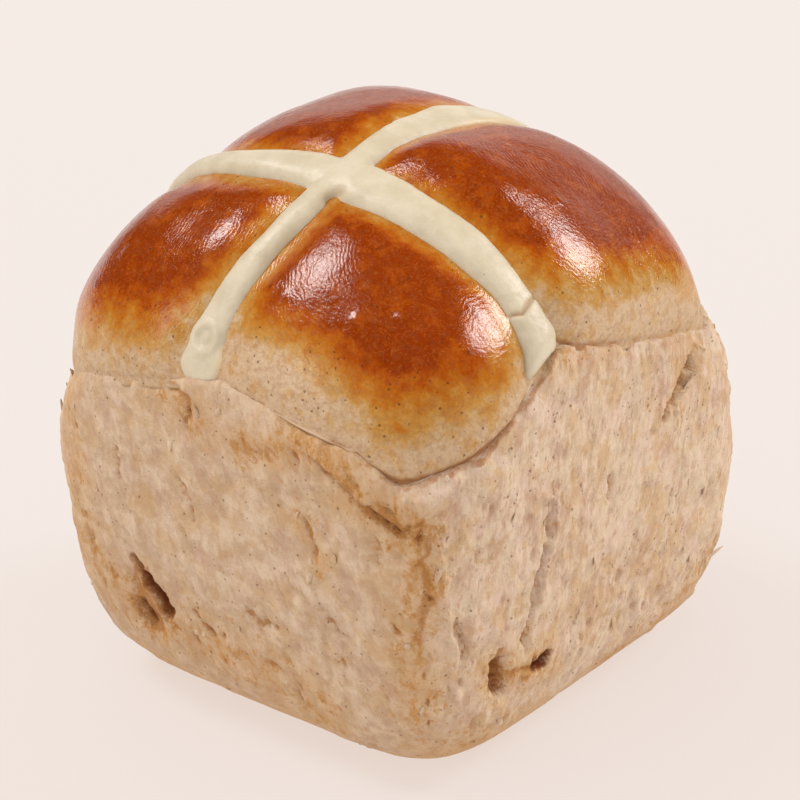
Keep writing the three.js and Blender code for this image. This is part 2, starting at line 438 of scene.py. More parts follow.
def shoulder(bearing):
    """How much further in the crust stands above its edge, at the left and right corners."""
    return 1.4 * hill(bearing, -139, 22) + 1.6 * hill(bearing, 41, 20)


def distance_to_path(points, path):
    """Distance from each point to a line through the path's points."""
    path = np.asarray(path, float)
    if len(path) == 1:
        return np.linalg.norm(points - path[0], axis=-1)
    nearest = np.full(points.shape[:-1], np.inf)
    for start, end in zip(path, path[1:]):
        run = end - start
        share = np.clip((points - start) @ run / (run @ run), 0, 1)
        away = np.linalg.norm(points - start - share[..., None] * run, axis=-1)
        nearest = np.minimum(nearest, away)
    return nearest


def arm_distances(points):
    """Distance in plan to each arm of the cross."""
    plan = points[..., :2]
    return [distance_to_path(plan, np.array(arm["guide"])[:, :2]) for arm in ARMS]


def paste_distance(points):
    return np.minimum(*arm_distances(points))


def torn_block(p):
    lean = p[..., 2] / LEAN_HEIGHT - 0.5
    narrow = 1 - TAPER * np.maximum(1 - p[..., 2] / TAPER_TOP, 0) ** 2
    across = share_of(p[..., 0] - LEAN[0] * lean, REACH["left"], REACH["right"]) / narrow
    along = share_of(p[..., 1] - LEAN[1] * lean, REACH["front"], REACH["back"]) / narrow
    return (power_norm(across, along, CORNER_POWER) - 1) * REACH["front"]


def dome(p):
    across = share_of(p[..., 0] - DOME_CENTRE[0], DOME_REACH["left"], DOME_REACH["right"])
    along = share_of(p[..., 1] - DOME_CENTRE[1], DOME_REACH["front"], DOME_REACH["back"])
    up = np.maximum(p[..., 2] - DOME_CENTRE[2], 0) / DOME_HEIGHT
    plan = power_norm(across, along, DOME_PLAN_POWER)
    return (power_norm(plan, up, DOME_PROFILE_POWER) - 1) * DOME_REACH["left"]


def crumb_skin(p):
    """The torn faces and the base."""
    block = smooth_max(torn_block(p), dome(p), DOME_ROUNDING)
    return smooth_max(block, -p[..., 2], BASE_ROUNDING)


def crust_skin(p):
    """The dome, with the valleys that the cross lies in."""
    on_top = smooth_step(38, 52, p[..., 2])
    valley = VALLEY_DEPTH * np.exp(-((paste_distance(p) / VALLEY_WIDTH) ** 4)) * on_top
    block = smooth_max(torn_block(p), dome(p) + valley, DOME_ROUNDING)
    return smooth_max(block, -p[..., 2], BASE_ROUNDING)


SEARCH_STEPS = 19
NEAREST, FARTHEST = 20.0, 75.0  # the skin is looked for between these distances from the heart


def meet(skin, directions):
    """The points where lines from the heart come out through a skin."""
    near = np.full(directions.shape[:-1], NEAREST)
    far = np.full(directions.shape[:-1], FARTHEST)
    for _ in range(SEARCH_STEPS):
        middle = (near + far) / 2
        outside = skin(HEART + directions * middle[..., None]) > 0
        far = np.where(outside, middle, far)
        near = np.where(outside, near, middle)
    return HEART + directions * ((near + far) / 2)[..., None]


summit = meet(crust_skin, np.array([[0.0, 0.0, 1.0]]))[0]
print("above its heart the crust is", summit[2].round(1), "mm high")

# %% [markdown]
# A skin is sampled along meridians, like the segments of an orange. Their bearings are chosen so
# that the points stand evenly along the square outline, and not bunched up on the flat faces.

# %% Choose the meridians
COLUMNS = 680


def even_bearings(count):
    coarse = np.radians(np.linspace(-180, 180, 1441))
    directions = np.stack([np.cos(coarse), np.sin(coarse), np.full_like(coarse, -0.05)], axis=-1)
    walked = walk_lengths(meet(crumb_skin, normalised(directions)))
    places = np.arange(count) / count * walked[-1]
    return np.interp(places, walked, coarse), walked[-1]


BEARINGS, outline_length = even_bearings(COLUMNS)
print(f"outline {outline_length:.0f} mm round, a meridian every {outline_length / COLUMNS:.2f} mm")


def meridians(skin, first_tilt, last_tilt, count):
    """Points of a skin: one line for each bearing, from one tilt to another off straight up."""
    tilts = np.radians(np.linspace(first_tilt, last_tilt, count))
    flat = np.stack([np.cos(BEARINGS), np.sin(BEARINGS), np.zeros(COLUMNS)], axis=-1)
    directions = np.sin(tilts)[None, :, None] * flat[:, None, :]
    directions = directions + np.cos(tilts)[None, :, None] * np.array([0, 0, 1.0])
    return meet(skin, directions)


def resample(lines, walked, wanted):
    """Points at wanted distances along each meridian."""
    made = np.empty(wanted.shape + (3,))
    for column in range(len(lines)):
        for axis in range(3):
            values = lines[column, :, axis]
            made[column, :, axis] = np.interp(wanted[column], walked[column], values)
    return made


# %% [markdown]
# ## Randomness that repeats
# Bread is uneven at every size, but the lesson must bake the same bun every time. So the
# unevenness comes from a rule that turns each corner of a grid into a fixed random number. Smooth
# hills between the corners make noise, and the distance to scattered seeds makes pores.

# %% Noise and pores
HASH_STEPS = np.array([73856093, 19349663, 83492791])
HASH_STIR = 1274126177
HASH_MASK = 0xFFFFFFFF


def hashed(corners, seed):
    """A repeatable number from 0 to 1 for each corner of the grid."""
    mixed = (corners.astype(np.int64) * HASH_STEPS).sum(axis=-1) + seed * 40503
    for shift in (13, 16):
        mixed &= HASH_MASK
        mixed = (mixed ^ (mixed >> shift)) * HASH_STIR
    mixed &= HASH_MASK
    return (mixed ^ (mixed >> 15)) / (HASH_MASK + 1)


def noise(points, grain, seed):
    """Smooth hills between -1 and 1, about a grain across."""
    place = points / grain
    corner = np.floor(place)
    part = place - corner
    part = part**3 * (part * (part * 6 - 15) + 10)
    total = np.zeros(points.shape[:-1])
    for offset in itertools.product((0, 1), repeat=3):
        weight = np.prod(np.where(offset, part, 1 - part), axis=-1)
        total += weight * hashed(corner + offset, seed)
    return 2 * total - 1


def rough_noise(points, grain, seed, layers):
    """Noise with finer and finer noise added to it."""
    total = sum(noise(points, grain / 2**k, seed + k) / 2**k for k in range(layers))
    return total / (2 - 2.0 ** (1 - layers))


def pushed(points, grain, seed):
    """A repeatable push for each point: three noises, one for each direction."""
    return np.stack([noise(points, grain, seed + k) for k in range(3)], axis=-1)


def nearest_seed(points, grain, seed):
    """Distance to the nearest of the scattered seeds, in grains, and that seed's own number."""
    place = points / grain
    corner = np.floor(place)
    nearest = np.full(points.shape[:-1], 9.0)
    own = np.zeros(points.shape[:-1])
    for offset in itertools.product((-1, 0, 1), repeat=3):
        cell = corner + offset
        heart = cell + np.stack([hashed(cell, seed + k) for k in range(3)], axis=-1)
        away = np.linalg.norm(place - heart, axis=-1)
        own = np.where(away < nearest, hashed(cell, seed + 3), own)
        nearest = np.minimum(nearest, away)
    return nearest, own


def pores(points, grain, seed, share, width):
    """1 in the middle of a pore and 0 outside. Only a share of the seeds make one."""
    away, own = nearest_seed(points, grain, seed)
    reach = width * (0.45 + 0.55 * own / share)
    return np.where(own < share, 1 - smooth_step(0.25, 1.0, away / reach), 0.0)


print("noise at three places:", noise(np.eye(3), 2.0, 1).round(2))

# %% [markdown]
# ## From a grid of points to a piece
# The crumb and the crust are each a grid wrapped round the bun, closed by one point at the top and
# one below, and a shred or a stroke of paste is a closed bar. Faces join the neighbours. What was
# worked out for each point, such as how brown it is, goes along as an attribute for the finishes.

# %% Make a piece from a grid
def outward(grid):
    """The direction that faces away from the bun, at each point of a grid of columns and rows."""
    sideways = np.roll(grid, -1, axis=0) - np.roll(grid, 1, axis=0)
    upwards = -np.gradient(grid, axis=1)
    normal = np.cross(sideways, upwards)
    return normal / np.maximum(np.linalg.norm(normal, axis=-1, keepdims=True), 1e-9)


def hold_facts(mesh, facts):
    """Keeps a number for each point of the mesh under each label."""
    for label, values in facts.items():
        held = mesh.attributes.new(label, "FLOAT", "POINT")
        held.data.foreach_set("value", np.ascontiguousarray(values, np.float32))


def make_piece(name, points, faces, facts):
    mesh = bpy.data.meshes.new(name)
    mesh.from_pydata(((points + CENTRING) * MM).tolist(), [], faces)
    hold_facts(mesh, facts)
    mesh.shade_smooth()
    piece = bpy.data.objects.new(name, mesh)
    bpy.context.scene.collection.objects.link(piece)
    size = np.ptp(points, axis=0).round(1).tolist()
    print(f"{name}: {len(points)} points, {len(faces)} faces, size in mm {size}")
    return piece


def bar_faces(steps, around, start):
    """The faces of a closed bar: steps along it, and points round each step."""
    index = start + np.arange(steps * around).reshape(steps, around)
    beside = np.roll(index, -1, axis=1)
    quads = np.stack([index[:-1], index[1:], beside[1:], beside[:-1]], axis=-1).reshape(-1, 4)
    return quads.tolist() + [index[0].tolist(), index[-1][::-1].tolist()]


def join_bars(bars):
    """The points and the faces of many closed bars that have the same steps."""
    steps, around = bars[0].shape[:2]
    starts = range(0, len(bars) * steps * around, steps * around)
    faces = [face for start in starts for face in bar_faces(steps, around, start)]
    return np.concatenate([bar.reshape(-1, 3) for bar in bars]), faces


def make_wrapped_piece(name, grid, facts):
    """A closed piece from a grid whose first and last rows each shrink to a point."""
    columns, rows = grid.shape[:2]
    index = np.arange(columns * rows).reshape(columns, rows)
    beside = np.roll(index, -1, axis=0)
    quads = np.stack([index[:, :-1], index[:, 1:], beside[:, 1:], beside[:, :-1]], axis=-1)
    top, bottom = columns * rows, columns * rows + 1
    faces = quads.reshape(-1, 4).tolist()
    faces += [[top, a, b] for a, b in zip(index[:, 0].tolist(), beside[:, 0].tolist())]
    faces += [[bottom, b, a] for a, b in zip(index[:, -1].tolist(), beside[:, -1].tolist())]
    ends = [grid[:, 0].mean(axis=0), grid[:, -1].mean(axis=0)]
    points = np.concatenate([grid.reshape(-1, 3), ends])
    flat = {
        label: np.r_[values.reshape(-1), values[:, 0].mean(), values[:, -1].mean()]
        for label, values in facts.items()
    }
    return make_piece(name, points, faces, flat)


# %% [markdown]
# ## The torn crumb
# Where two buns are pulled apart, the soft crumb stretches and tears into strands that run up the
# face, leaning away from the front corner. Between them are long pores, and in a few places the
# tear dug out a hollow. A painted image could fake this, but real relief throws real shadows and
# looks right from every side, so the points themselves are moved in and out.

# %% Marks that the tear left on the front face
# Each mark: a path in mm, how far it reaches on each side, its depth (a rise if negative), and how
# much darker it is painted: partly a real brown stain, partly painted shade in its groove or hole.
# A negative value keeps a ridge clear of that darkening.
FRONT_MARKS = {
    "long crack": ([(-17.6, -37.4, 24), (-16.2, -37.2, 21.6), (-14.9, -37.1, 20.2)], 0.9, 1.6, 1.3),
    "foot of the crack": ([(-15.4, -37.1, 20.6), (-12.9, -36.8, 17.0)], 1.9, 2.4, 1.6),
    "pit by the crack": ([(-18.4, -36.1, 14.6), (-17.4, -36.1, 13.6)], 1.9, 1.8, 1.4),
    "fold by the crack": ([(-18.6, -36.5, 19.5), (-15.6, -36.0, 13.6)], 2.6, 0.7, 0.8),
    "small left pit": ([(-23.4, -36.6, 20.6), (-22.4, -36.6, 18.9)], 0.8, 0.5, 0.8),
    "left edge streak": ([(-27.6, -36.6, 27.4), (-26.5, -36.4, 23.5),
        (-23.8, -36.5, 19.2)], 0.8, 0.5, 0.9),
    "mark under the rim": ([(-7.8, -38, 52.2), (-4.2, -38, 51.4), (-3.6, -38, 49.6),
        (-5.1, -38, 47.3)], 0.9, 0.5, 1.0),
    "ochre mark": ([(5.2, -38, 46.9), (8.0, -38, 47.2), (11.3, -38, 47.6)], 1.4, 0.3, 0.8),
    "left line": ([(-18.8, -37.9, 40.6), (-18.6, -37.9, 38.4),
        (-18.1, -37.8, 35.5)], 0.6, 0.4, 0.9),
    "middle left line": ([(-7.0, -37.9, 38.7), (-5.6, -37.9, 36.0),
        (-4.5, -37.9, 33.5)], 0.7, 0.4, 0.9),
    "line by the corner": ([(14.9, -37.9, 40.3), (16.0, -37.9, 38.6),
        (17.2, -37.8, 35.0)], 0.7, 0.5, 0.9),
    "low brown mark": ([(-7.2, -36.7, 17.6), (-4.0, -36.4, 15.3)], 0.9, 0.6, 1.0),
    "middle brown mark": ([(4.0, -37.3, 22.2), (6.2, -37.2, 21.3),
        (9.0, -37.2, 21.0)], 0.7, 0.5, 1.1),
    "lower brown mark": ([(10.7, -35.9, 12.4), (11.0, -35.0, 8.6)], 0.9, 0.6, 0.9),
    "slanting mark": ([(18.6, -37.4, 25.6), (21.8, -37.1, 23.4)], 0.6, 0.6, 1.0),
    "mark below it": ([(17.6, -37.1, 21.0), (19.6, -36.9, 19.6)], 0.8, 0.5, 0.9),
    "small low mark": ([(6.9, -36.3, 14.6), (8.1, -36.2, 13.4)], 0.8, 0.5, 0.8),
    "low left mark": ([(0.1, -36.0, 12.7), (-1.6, -36.0, 13.6)], 0.7, 0.4, 0.8),
    "corner streak": ([(32.3, -33.6, 40.0), (32.2, -33.6, 35.7),
        (31.2, -34.2, 25.5)], 1.4, 0.4, 1.0),
    "pit under the flap": ([(26.6, -36.6, 43.6), (28.6, -35.6, 42.2),
        (30.4, -35.2, 41.4)], 1.2, 1.2, 1.1),
    "streak under the rim": ([(20.9, -37.4, 48.0), (23.6, -37.0, 46.2)], 1.1, 0.6, 0.8),
    "streak below it": ([(26.6, -36.8, 39.8), (27.1, -36.6, 36.8)], 1.0, 0.4, 0.8),
    "faint line": ([(-7.2, -37.9, 31.6), (-5.4, -37.9, 27.6)], 0.6, 0.2, 0.5),
}
print("marks on the front face:", len(FRONT_MARKS))

# %% Marks on the other faces
RIGHT_MARKS = {
    "deep hole": ([(35.0, -15.6, 14.6), (35.0, -14.2, 14.8)], 1.4, 3.4, 1.7),
    "brown dent": ([(35.0, -23.6, 18.2), (34.6, -23.0, 13.8)], 2.0, 1.9, 1.5),
    "link between them": ([(35.0, -21.0, 15.4), (35.0, -17.2, 15.0)], 0.7, 0.4, 0.9),
    "long groove": ([(36.2, -13.2, 37.6), (36.2, -15.4, 30.4), (36.0, -17.4, 25.3),
        (35.5, -18.6, 19.6)], 0.75, 1.0, 1.0),
    "ridge by the groove": ([(36.2, -14.6, 39.2), (36.2, -12.2, 38.4), (36.2, -14.2, 30.4),
        (36.0, -16.2, 25.3)], 0.9, -0.6, -0.5),
    "short groove": ([(36.3, -0.3, 37.0), (36.3, -0.8, 33.0)], 0.7, 0.6, 0.9),
    "oval pore": ([(36.1, -20.0, 31.6), (36.1, -20.2, 29.4)], 0.8, 0.5, 0.6),
    "slit": ([(36.0, 21.2, 46.9), (36.2, 16.9, 43.4), (36.2, 11.7, 40.3)], 0.85, 1.4, 1.6),
    "lip of the slit": ([(36.0, 22.6, 46.0), (36.2, 14.6, 40.6)], 0.8, -0.8, -0.4),
    "crack at the base": ([(30.8, 11.8, 3.4), (31.0, 18.8, 3.6)], 0.7, 1.0, 1.1),
    "brown spot": ([(34.8, 23.4, 15.9)], 1.2, 0.5, 0.8),
    "corner fold": ([(33.3, -32.1, 42.4), (33.5, -32.0, 36.9), (33.7, -31.6, 31.0),
        (33.7, -31.1, 25.0), (33.3, -30.3, 18.5), (32.8, -29.4, 13.4)], 0.8, -0.8, -0.8),
    "slot by the fold": ([(34.1, -30.5, 28.0), (34.2, -30.0, 24.8),
        (34.1, -29.5, 21.8)], 0.6, 0.9, 0.9),
}
HIDDEN_MARKS = {
    "left hollow": ([(-37.6, 8.0, 28.5), (-37.6, 10.0, 21.5)], 1.8, 3.0, 1.2),
    "left dent": ([(-37.8, -14.5, 40.0), (-37.8, -13.5, 34.0)], 1.3, 1.0, 0.9),
    "left side line": ([(-37.8, 20.0, 40.0), (-37.8, 22.5, 31.0)], 0.7, 0.5, 0.7),
    "left low mark": ([(-36.5, -6.0, 14.5), (-36.2, -2.0, 12.0)], 0.9, 0.6, 1.0),
    "back hollow": ([(13.4, 37.8, 25.0), (14.6, 37.6, 19.0)], 1.6, 3.0, 1.2),
    "back groove": ([(-10.8, 38.0, 40.5), (-13.2, 38.0, 29.5)], 0.8, 1.0, 0.8),
    "back low mark": ([(-22.0, 36.8, 15.0), (-18.5, 36.4, 12.5)], 0.9, 0.6, 1.0),
    "back line": ([(22.0, 38.0, 44.0), (24.5, 37.8, 36.0)], 0.7, 0.5, 0.7),
}
TEAR_MARKS = {**FRONT_MARKS, **RIGHT_MARKS, **HIDDEN_MARKS}
print("marks in all:", len(TEAR_MARKS))

# %% Where the crumb is stained
# Where the tear ran close to a browned crust: a path, how far it reaches, and how strongly.
OCHRE_ZONES = [
    ([(-27, -36, 20), (-20, -36, 14), (-6, -36, 13), (6, -36, 13), (14, -35, 9)], 6.0, 0.75),
    ([(-10, -38, 52), (-3, -38, 49)], 4.0, 0.8), ([(5, -38, 47.5), (12, -38, 47.5)], 3.2, 0.9),
    ([(15, -38, 51), (22, -37.5, 48), (30, -35.5, 41.5)], 3.6, 0.95),
    ([(31.5, -34, 41), (31.5, -34, 34), (30, -35, 24), (30, -34, 14)], 4.0, 0.9),
    ([(-30, -36, 44), (-28, -36, 27), (-25, -36, 19)], 4.0, 0.65),
    ([(15, -38, 40), (18, -38, 34)], 2.4, 0.7),
    ([(34.8, -24, 17), (35, -15, 14)], 4.5, 0.85),
    ([(33, 4, 5), (34, 16, 7), (33, 28, 12)], 3.5, 0.7),
    ([(36, 20, 47), (36, 15, 42)], 3.0, 0.75), ([(36, -12, 56.5), (36, 0, 57)], 2.4, 0.6),
    ([(30, -30, 8), (33, -20, 6)], 4.0, 0.6),
    ([(-36, -26, 16), (-36, 2, 12), (-36, 24, 17)], 6.0, 0.75),
    ([(-24, 37, 14), (4, 37, 13), (25, 36, 17)], 6.0, 0.75),
    ([(-37.5, 6, 27), (-37.5, 10, 20)], 4.0, 0.8),
    ([(-38, 22, 47), (-37, 30, 40)], 4.0, 0.8), ([(14, 38, 24), (16, 38, 19)], 4.0, 0.8),
]
print("ochre zones:", len(OCHRE_ZONES))

# %% [markdown]
# The rows of the crumb start hidden under the crust, cross a narrow ledge at the ragged rim, run
# down the face and end under the base. They stand close where the tear shows and wide where it
# doesn't.

# %% Lay out the crumb's rows
RAGGED_SLOW = (0.6, 5.0)  # how far the rim strays, and over what length
RAGGED_QUICK = (0.16, 1.5)
CAP_STEPS = np.array([-30.0, -12.0, -5.0, -2.4, -1.3, -0.75, -0.35, -0.1])
FACE_ROWS = 126
BASE_ROWS = 12
CRUMB_SEARCH = (30, 180, 330)  # the first and last tilt off straight up, and the points between


def straying(points, seed):
    """How far a torn edge strays from its even line."""
    slow, quick = RAGGED_SLOW, RAGGED_QUICK
    return slow[0] * noise(points, slow[1], seed) + quick[0] * noise(points, quick[1], seed + 1)


def crumb_rows():
    lines = meridians(crumb_skin, *CRUMB_SEARCH)
    walked = walk_lengths(lines)
    rim = rim_height(np.degrees(BEARINGS))
    wanted = np.empty((COLUMNS, len(CAP_STEPS) + FACE_ROWS + BASE_ROWS))
    for column in range(COLUMNS):
        heights = lines[column, :, 2]
        at_rim = np.interp(-rim[column], -heights, walked[column])
        edge = lines[column, np.searchsorted(walked[column], at_rim)]
        at_edge = at_rim + straying(edge[None], 11)[0]
        at_base = np.interp(-1.2, -heights, walked[column])
        cap = np.maximum(at_edge + CAP_STEPS, 0.2 * np.arange(1, len(CAP_STEPS) + 1))
        face = np.linspace(at_edge + 0.12, at_base, FACE_ROWS)
        inwards = np.linspace(0, 1, BASE_ROWS + 1)[1:] ** 1.3
        base = at_base + (walked[column, -1] - 0.5 - at_base) * inwards
        wanted[column] = np.r_[cap, face, base]
    return resample(lines, walked, wanted), wanted - wanted[:, len(CAP_STEPS)][:, None]


crumb_grid, below_edge = crumb_rows()
print("crumb grid:", crumb_grid.shape[0], "columns of", crumb_grid.shape[1], "points")

# %% [markdown]
# Tearing pulls the crumb into strands. To draw them, the noise is measured on leaning axes that are
# squeezed along the grain, so that each hill and each pore comes out long and slanting.

# %% The grain and the shapes of marks
GRAIN_LEAN = 0.3  # how far the grain moves sideways for each mm that it rises
GRAIN_STRETCH = 0.36
TRIANGLE_REACH = 9.0  # a triangle is drawn on this side of the bun only


def along_grain(points):
    x, y, z = np.moveaxis(points, -1, 0)
    return np.stack([x + GRAIN_LEAN * z, y - GRAIN_LEAN * z, GRAIN_STRETCH * z], axis=-1)


def torn_warp(points):
    """Shifts points about, so that what is drawn at them comes out ragged."""
    return points + 0.5 * pushed(points, 2.6, 201) + 0.35 * pushed(points, 1.0, 204)


def mark_shape(points, path, reach):
    """1 along a mark and 0 outside it."""
    return 1 - smooth_step(0.2, 1.0, distance_to_path(points, path) / reach)


def inside_triangle(points, a, b, c, soft):
    """1 inside a triangle, seen straight on, and falling to 0 at its edges."""
    a, b, c = (np.array(corner, float) for corner in (a, b, c))
    across, along = b - a, c - a
    grid = np.array([[across @ across, across @ along], [across @ along, along @ along]])
    sides = np.stack([(points - a) @ across, (points - a) @ along], axis=-1) @ np.linalg.inv(grid)
    least = np.minimum(np.minimum(sides[..., 0], sides[..., 1]), 1 - sides.sum(axis=-1))
    near = np.linalg.norm(points - (a + b + c) / 3, axis=-1) < TRIANGLE_REACH
    return smooth_step(0, soft, least) * near


print("the grain leans by", round(math.degrees(math.atan(GRAIN_LEAN))), "degrees")

# %% [markdown]
# The relief is built up from the coarse to the fine: how rough each place is, then the layers,
# strands and pores of the tear, then the marks, and last the flap at the front corner.

# %% Relief of the torn crumb
TORN_RIDGE = [(17.6, -37.9, 50.0), (22.0, -37.5, 47.2), (26.2, -36.9, 44.2), (30.2, -35.4, 41.6)]
FLAP = ((26.6, -36.4, 48.6), (35.4, -27.4, 48.0), (31.9, -33.8, 42.6))


def roughness_of(points, pale_face, smooth_base):
    """How rough the tear is: most near the base, at the front corner and on the pale faces."""
    torn = 0.4 + 0.3 * smooth_step(-0.3, 0.5, noise(points, 15.0, 23))
    torn = torn + 0.2 * smooth_step(26, 12, points[..., 2])
    torn = torn + 0.3 * hill(bearing_of(points), -45, 9) + 0.3 * pale_face
    return np.clip(torn, 0, 1.1) * (1 - 0.85 * smooth_base)


def tear_texture(points, torn, pale_face, smooth_base):
    """Swells, layers, strands and pores: how far they rise, and how much painted shade they get."""
    grain = along_grain(points)
    swells = 0.4 * rough_noise(points, 9.0, 31, 3)
    layers = 0.26 * smooth_step(-0.02, 0.1, rough_noise(grain, 5.0, 35, 4) - 0.08)
    layers = layers + 0.22 * smooth_step(0.0, 0.1, rough_noise(points, 3.4, 38, 3) - 0.1)
    strands = 0.12 * rough_noise(grain, 1.6, 41, 3)
    hollows = smooth_step(0.12, 0.6, rough_noise(grain, 1.5, 51, 3))
    pits = pores(0.8 * grain, 1.25, 61, 0.3, 0.5)
    fluff = 0.13 * rough_noise(points, 1.0, 71, 2)
    fine = layers + strands + fluff - 0.22 * hollows - 0.36 * pits * (0.5 + 0.5 * pale_face)
    rise = swells * (1 - 0.6 * smooth_base) + torn * fine
    return rise, torn * (0.45 * hollows + 0.75 * pits)


def press_marks(ragged, rise):
    """Sinks the marks into the relief, and tells where they dig and get stain and painted shade."""
    stain = np.zeros_like(rise)
    pit = np.zeros_like(rise)
    for path, reach, deep, browned in TEAR_MARKS.values():
        shape, around, within = (mark_shape(ragged, path, reach * k) for k in (1, 2.2, 1.5))
        rise = rise - deep * shape
        # Each mark is painted darker: partly real brown stain, partly painted shade in its groove
        # or hole.
        stain = stain + browned * np.maximum(shape, 0.45 * around)
        # pit: how dark a deep mark is inside, partly browned crumb and partly painted shade
        pit = np.maximum(pit, np.clip((deep - 0.8) / 2.2, 0, 1) * within)
    return rise, stain, pit


def tuck_under_crust(points, below, rise):
    """Draws the crumb in at its corners and under the rim of the crust."""
    bearing = bearing_of(points)
    pulled_in = 1.4 * hill(bearing, 42, 19) + 1.3 * hill(bearing, -139, 24)
    rise = rise - pulled_in * np.exp(-((np.maximum(below, 0) / 6.0) ** 2))
    set_in = 1.2 + shoulder(bearing) + 2.6 * smooth_step(-0.6, -6, below)
    ledge = smooth_step(-0.5, 0.15, below)
    rise = np.where(below < 0.15, rise * ledge - set_in * (1 - ledge), rise)
    return rise - 0.45 * hill(below, 0.2, 1.2) * (0.8 + noise(points, 2.0, 81))


def crumb_relief(points, below):
    """How far each point rises, and what the finish needs to know about it."""
    height = points[..., 2]
    smooth_base = 1 - smooth_step(3.0, 8.0, height + 2.2 * noise(points, 7.0, 22))
    pale_face = smooth_step(30, 34, points[..., 0]) + 0.5 * smooth_step(-30, -34, points[..., 0])
    torn = roughness_of(points, pale_face, smooth_base)
    rise, depth = tear_texture(points, torn, pale_face, smooth_base)
    ragged = torn_warp(points)
    rise, stain, pit = press_marks(ragged, rise)
    ochre = np.zeros_like(height)
    for path, reach, strength in OCHRE_ZONES:
        ochre = np.maximum(ochre, strength * hill(distance_to_path(ragged, path), 0, reach))
    wavy_grain = along_grain(points) + 0.5 * rough_noise(points, 1.2, 65, 2)[..., None]
    gouged = pores(wavy_grain, 2.9, 66, 0.55, 0.4) * smooth_step(0.1, 0.6, ochre)
    nearly = (points + ragged) / 2
    flap = inside_triangle(nearly, *FLAP, 0.12)
    shaded_groove_under_ridge = mark_shape(nearly, np.array(TORN_RIDGE) - (0.3, 0, 1.1), 0.8)
    rise = rise - 0.55 * gouged + 0.9 * flap * smooth_step(50, 43, height)
    rise = rise + 0.85 * mark_shape(nearly, TORN_RIDGE, 0.75) - 0.5 * shaded_groove_under_ridge
    # Darker in the gouged pores, partly ochre crumb and partly painted shade, and painted shade in
    # the groove under the torn ridge.
    stain = stain + 1.3 * gouged + 0.7 * shaded_groove_under_ridge
    bearing = bearing_of(points)
    # edge: a brown band at the crumb's top, where it meets the crust, painted shade in that joint.
    edge = hill(below, 0.1, 0.5 + 0.3 * hill(bearing, -48, 26))
    return tuck_under_crust(points, below, rise), {
        # depth: how deep the hollows and pores are, which the finish darkens with painted shade
        "depth": np.clip(depth, 0, 2),
        "stain": np.clip(stain * (1 - flap), -1, 2),
        "ochre": ochre * (1 - 0.8 * flap),
        "pit": pit,
        "base": smooth_base,
        "pale": np.clip(pale_face + 0.6 * flap, 0, 1.3),
        "edge": edge * (0.45 + 0.55 * hill(bearing, -30, 40)),
    }


crumb_rise, crumb_facts = crumb_relief(crumb_grid, below_edge)
underside = smooth_step(1.5, 0.4, crumb_grid[..., 2])
crumb_rise = crumb_rise * (1 - underside)
crumb_grid = crumb_grid + outward(crumb_grid) * crumb_rise[..., None]
crumb_grid[..., 2] = np.maximum(crumb_grid[..., 2], 0)
print(f"the tear is {-crumb_rise.min():.1f} mm deep and stands up {crumb_rise.max():.1f} mm")
torn_crumb = make_wrapped_piece("torn_crumb", crumb_grid, crumb_facts)

# %% [markdown]
# The crumb of a spiced bun is a warm pale tan, a little pink, with ochre patches where it was close
# to a crust. Its pores, dents and deep holes are darkened with painted shade. Ground spice shows as
# tiny dark brown specks. Light sinks a little way into it, so its shader lets light pass under the
# surface.

# %% Finish the crumb
def grain_place(finish, place):
    """The leaning, stretched axes of the torn grain, in the shader."""
    x, y, z = finish.split(place)
    return finish.join(x + z * GRAIN_LEAN, y - z * GRAIN_LEAN, z * GRAIN_STRETCH)


def specks(finish, place, grain, size):
    """1 inside scattered specks, from dust up to the size, and 0 outside."""
    stirred = finish.stir(place, size * 1.5, size * 1.6)
    luck = finish.split(finish.cells(stirred, grain, out="Color"))[0]
    away = finish.cells(stirred, grain) * grain
    return 1 - (away - luck * luck * luck * size).between(-0.05, 0.0)


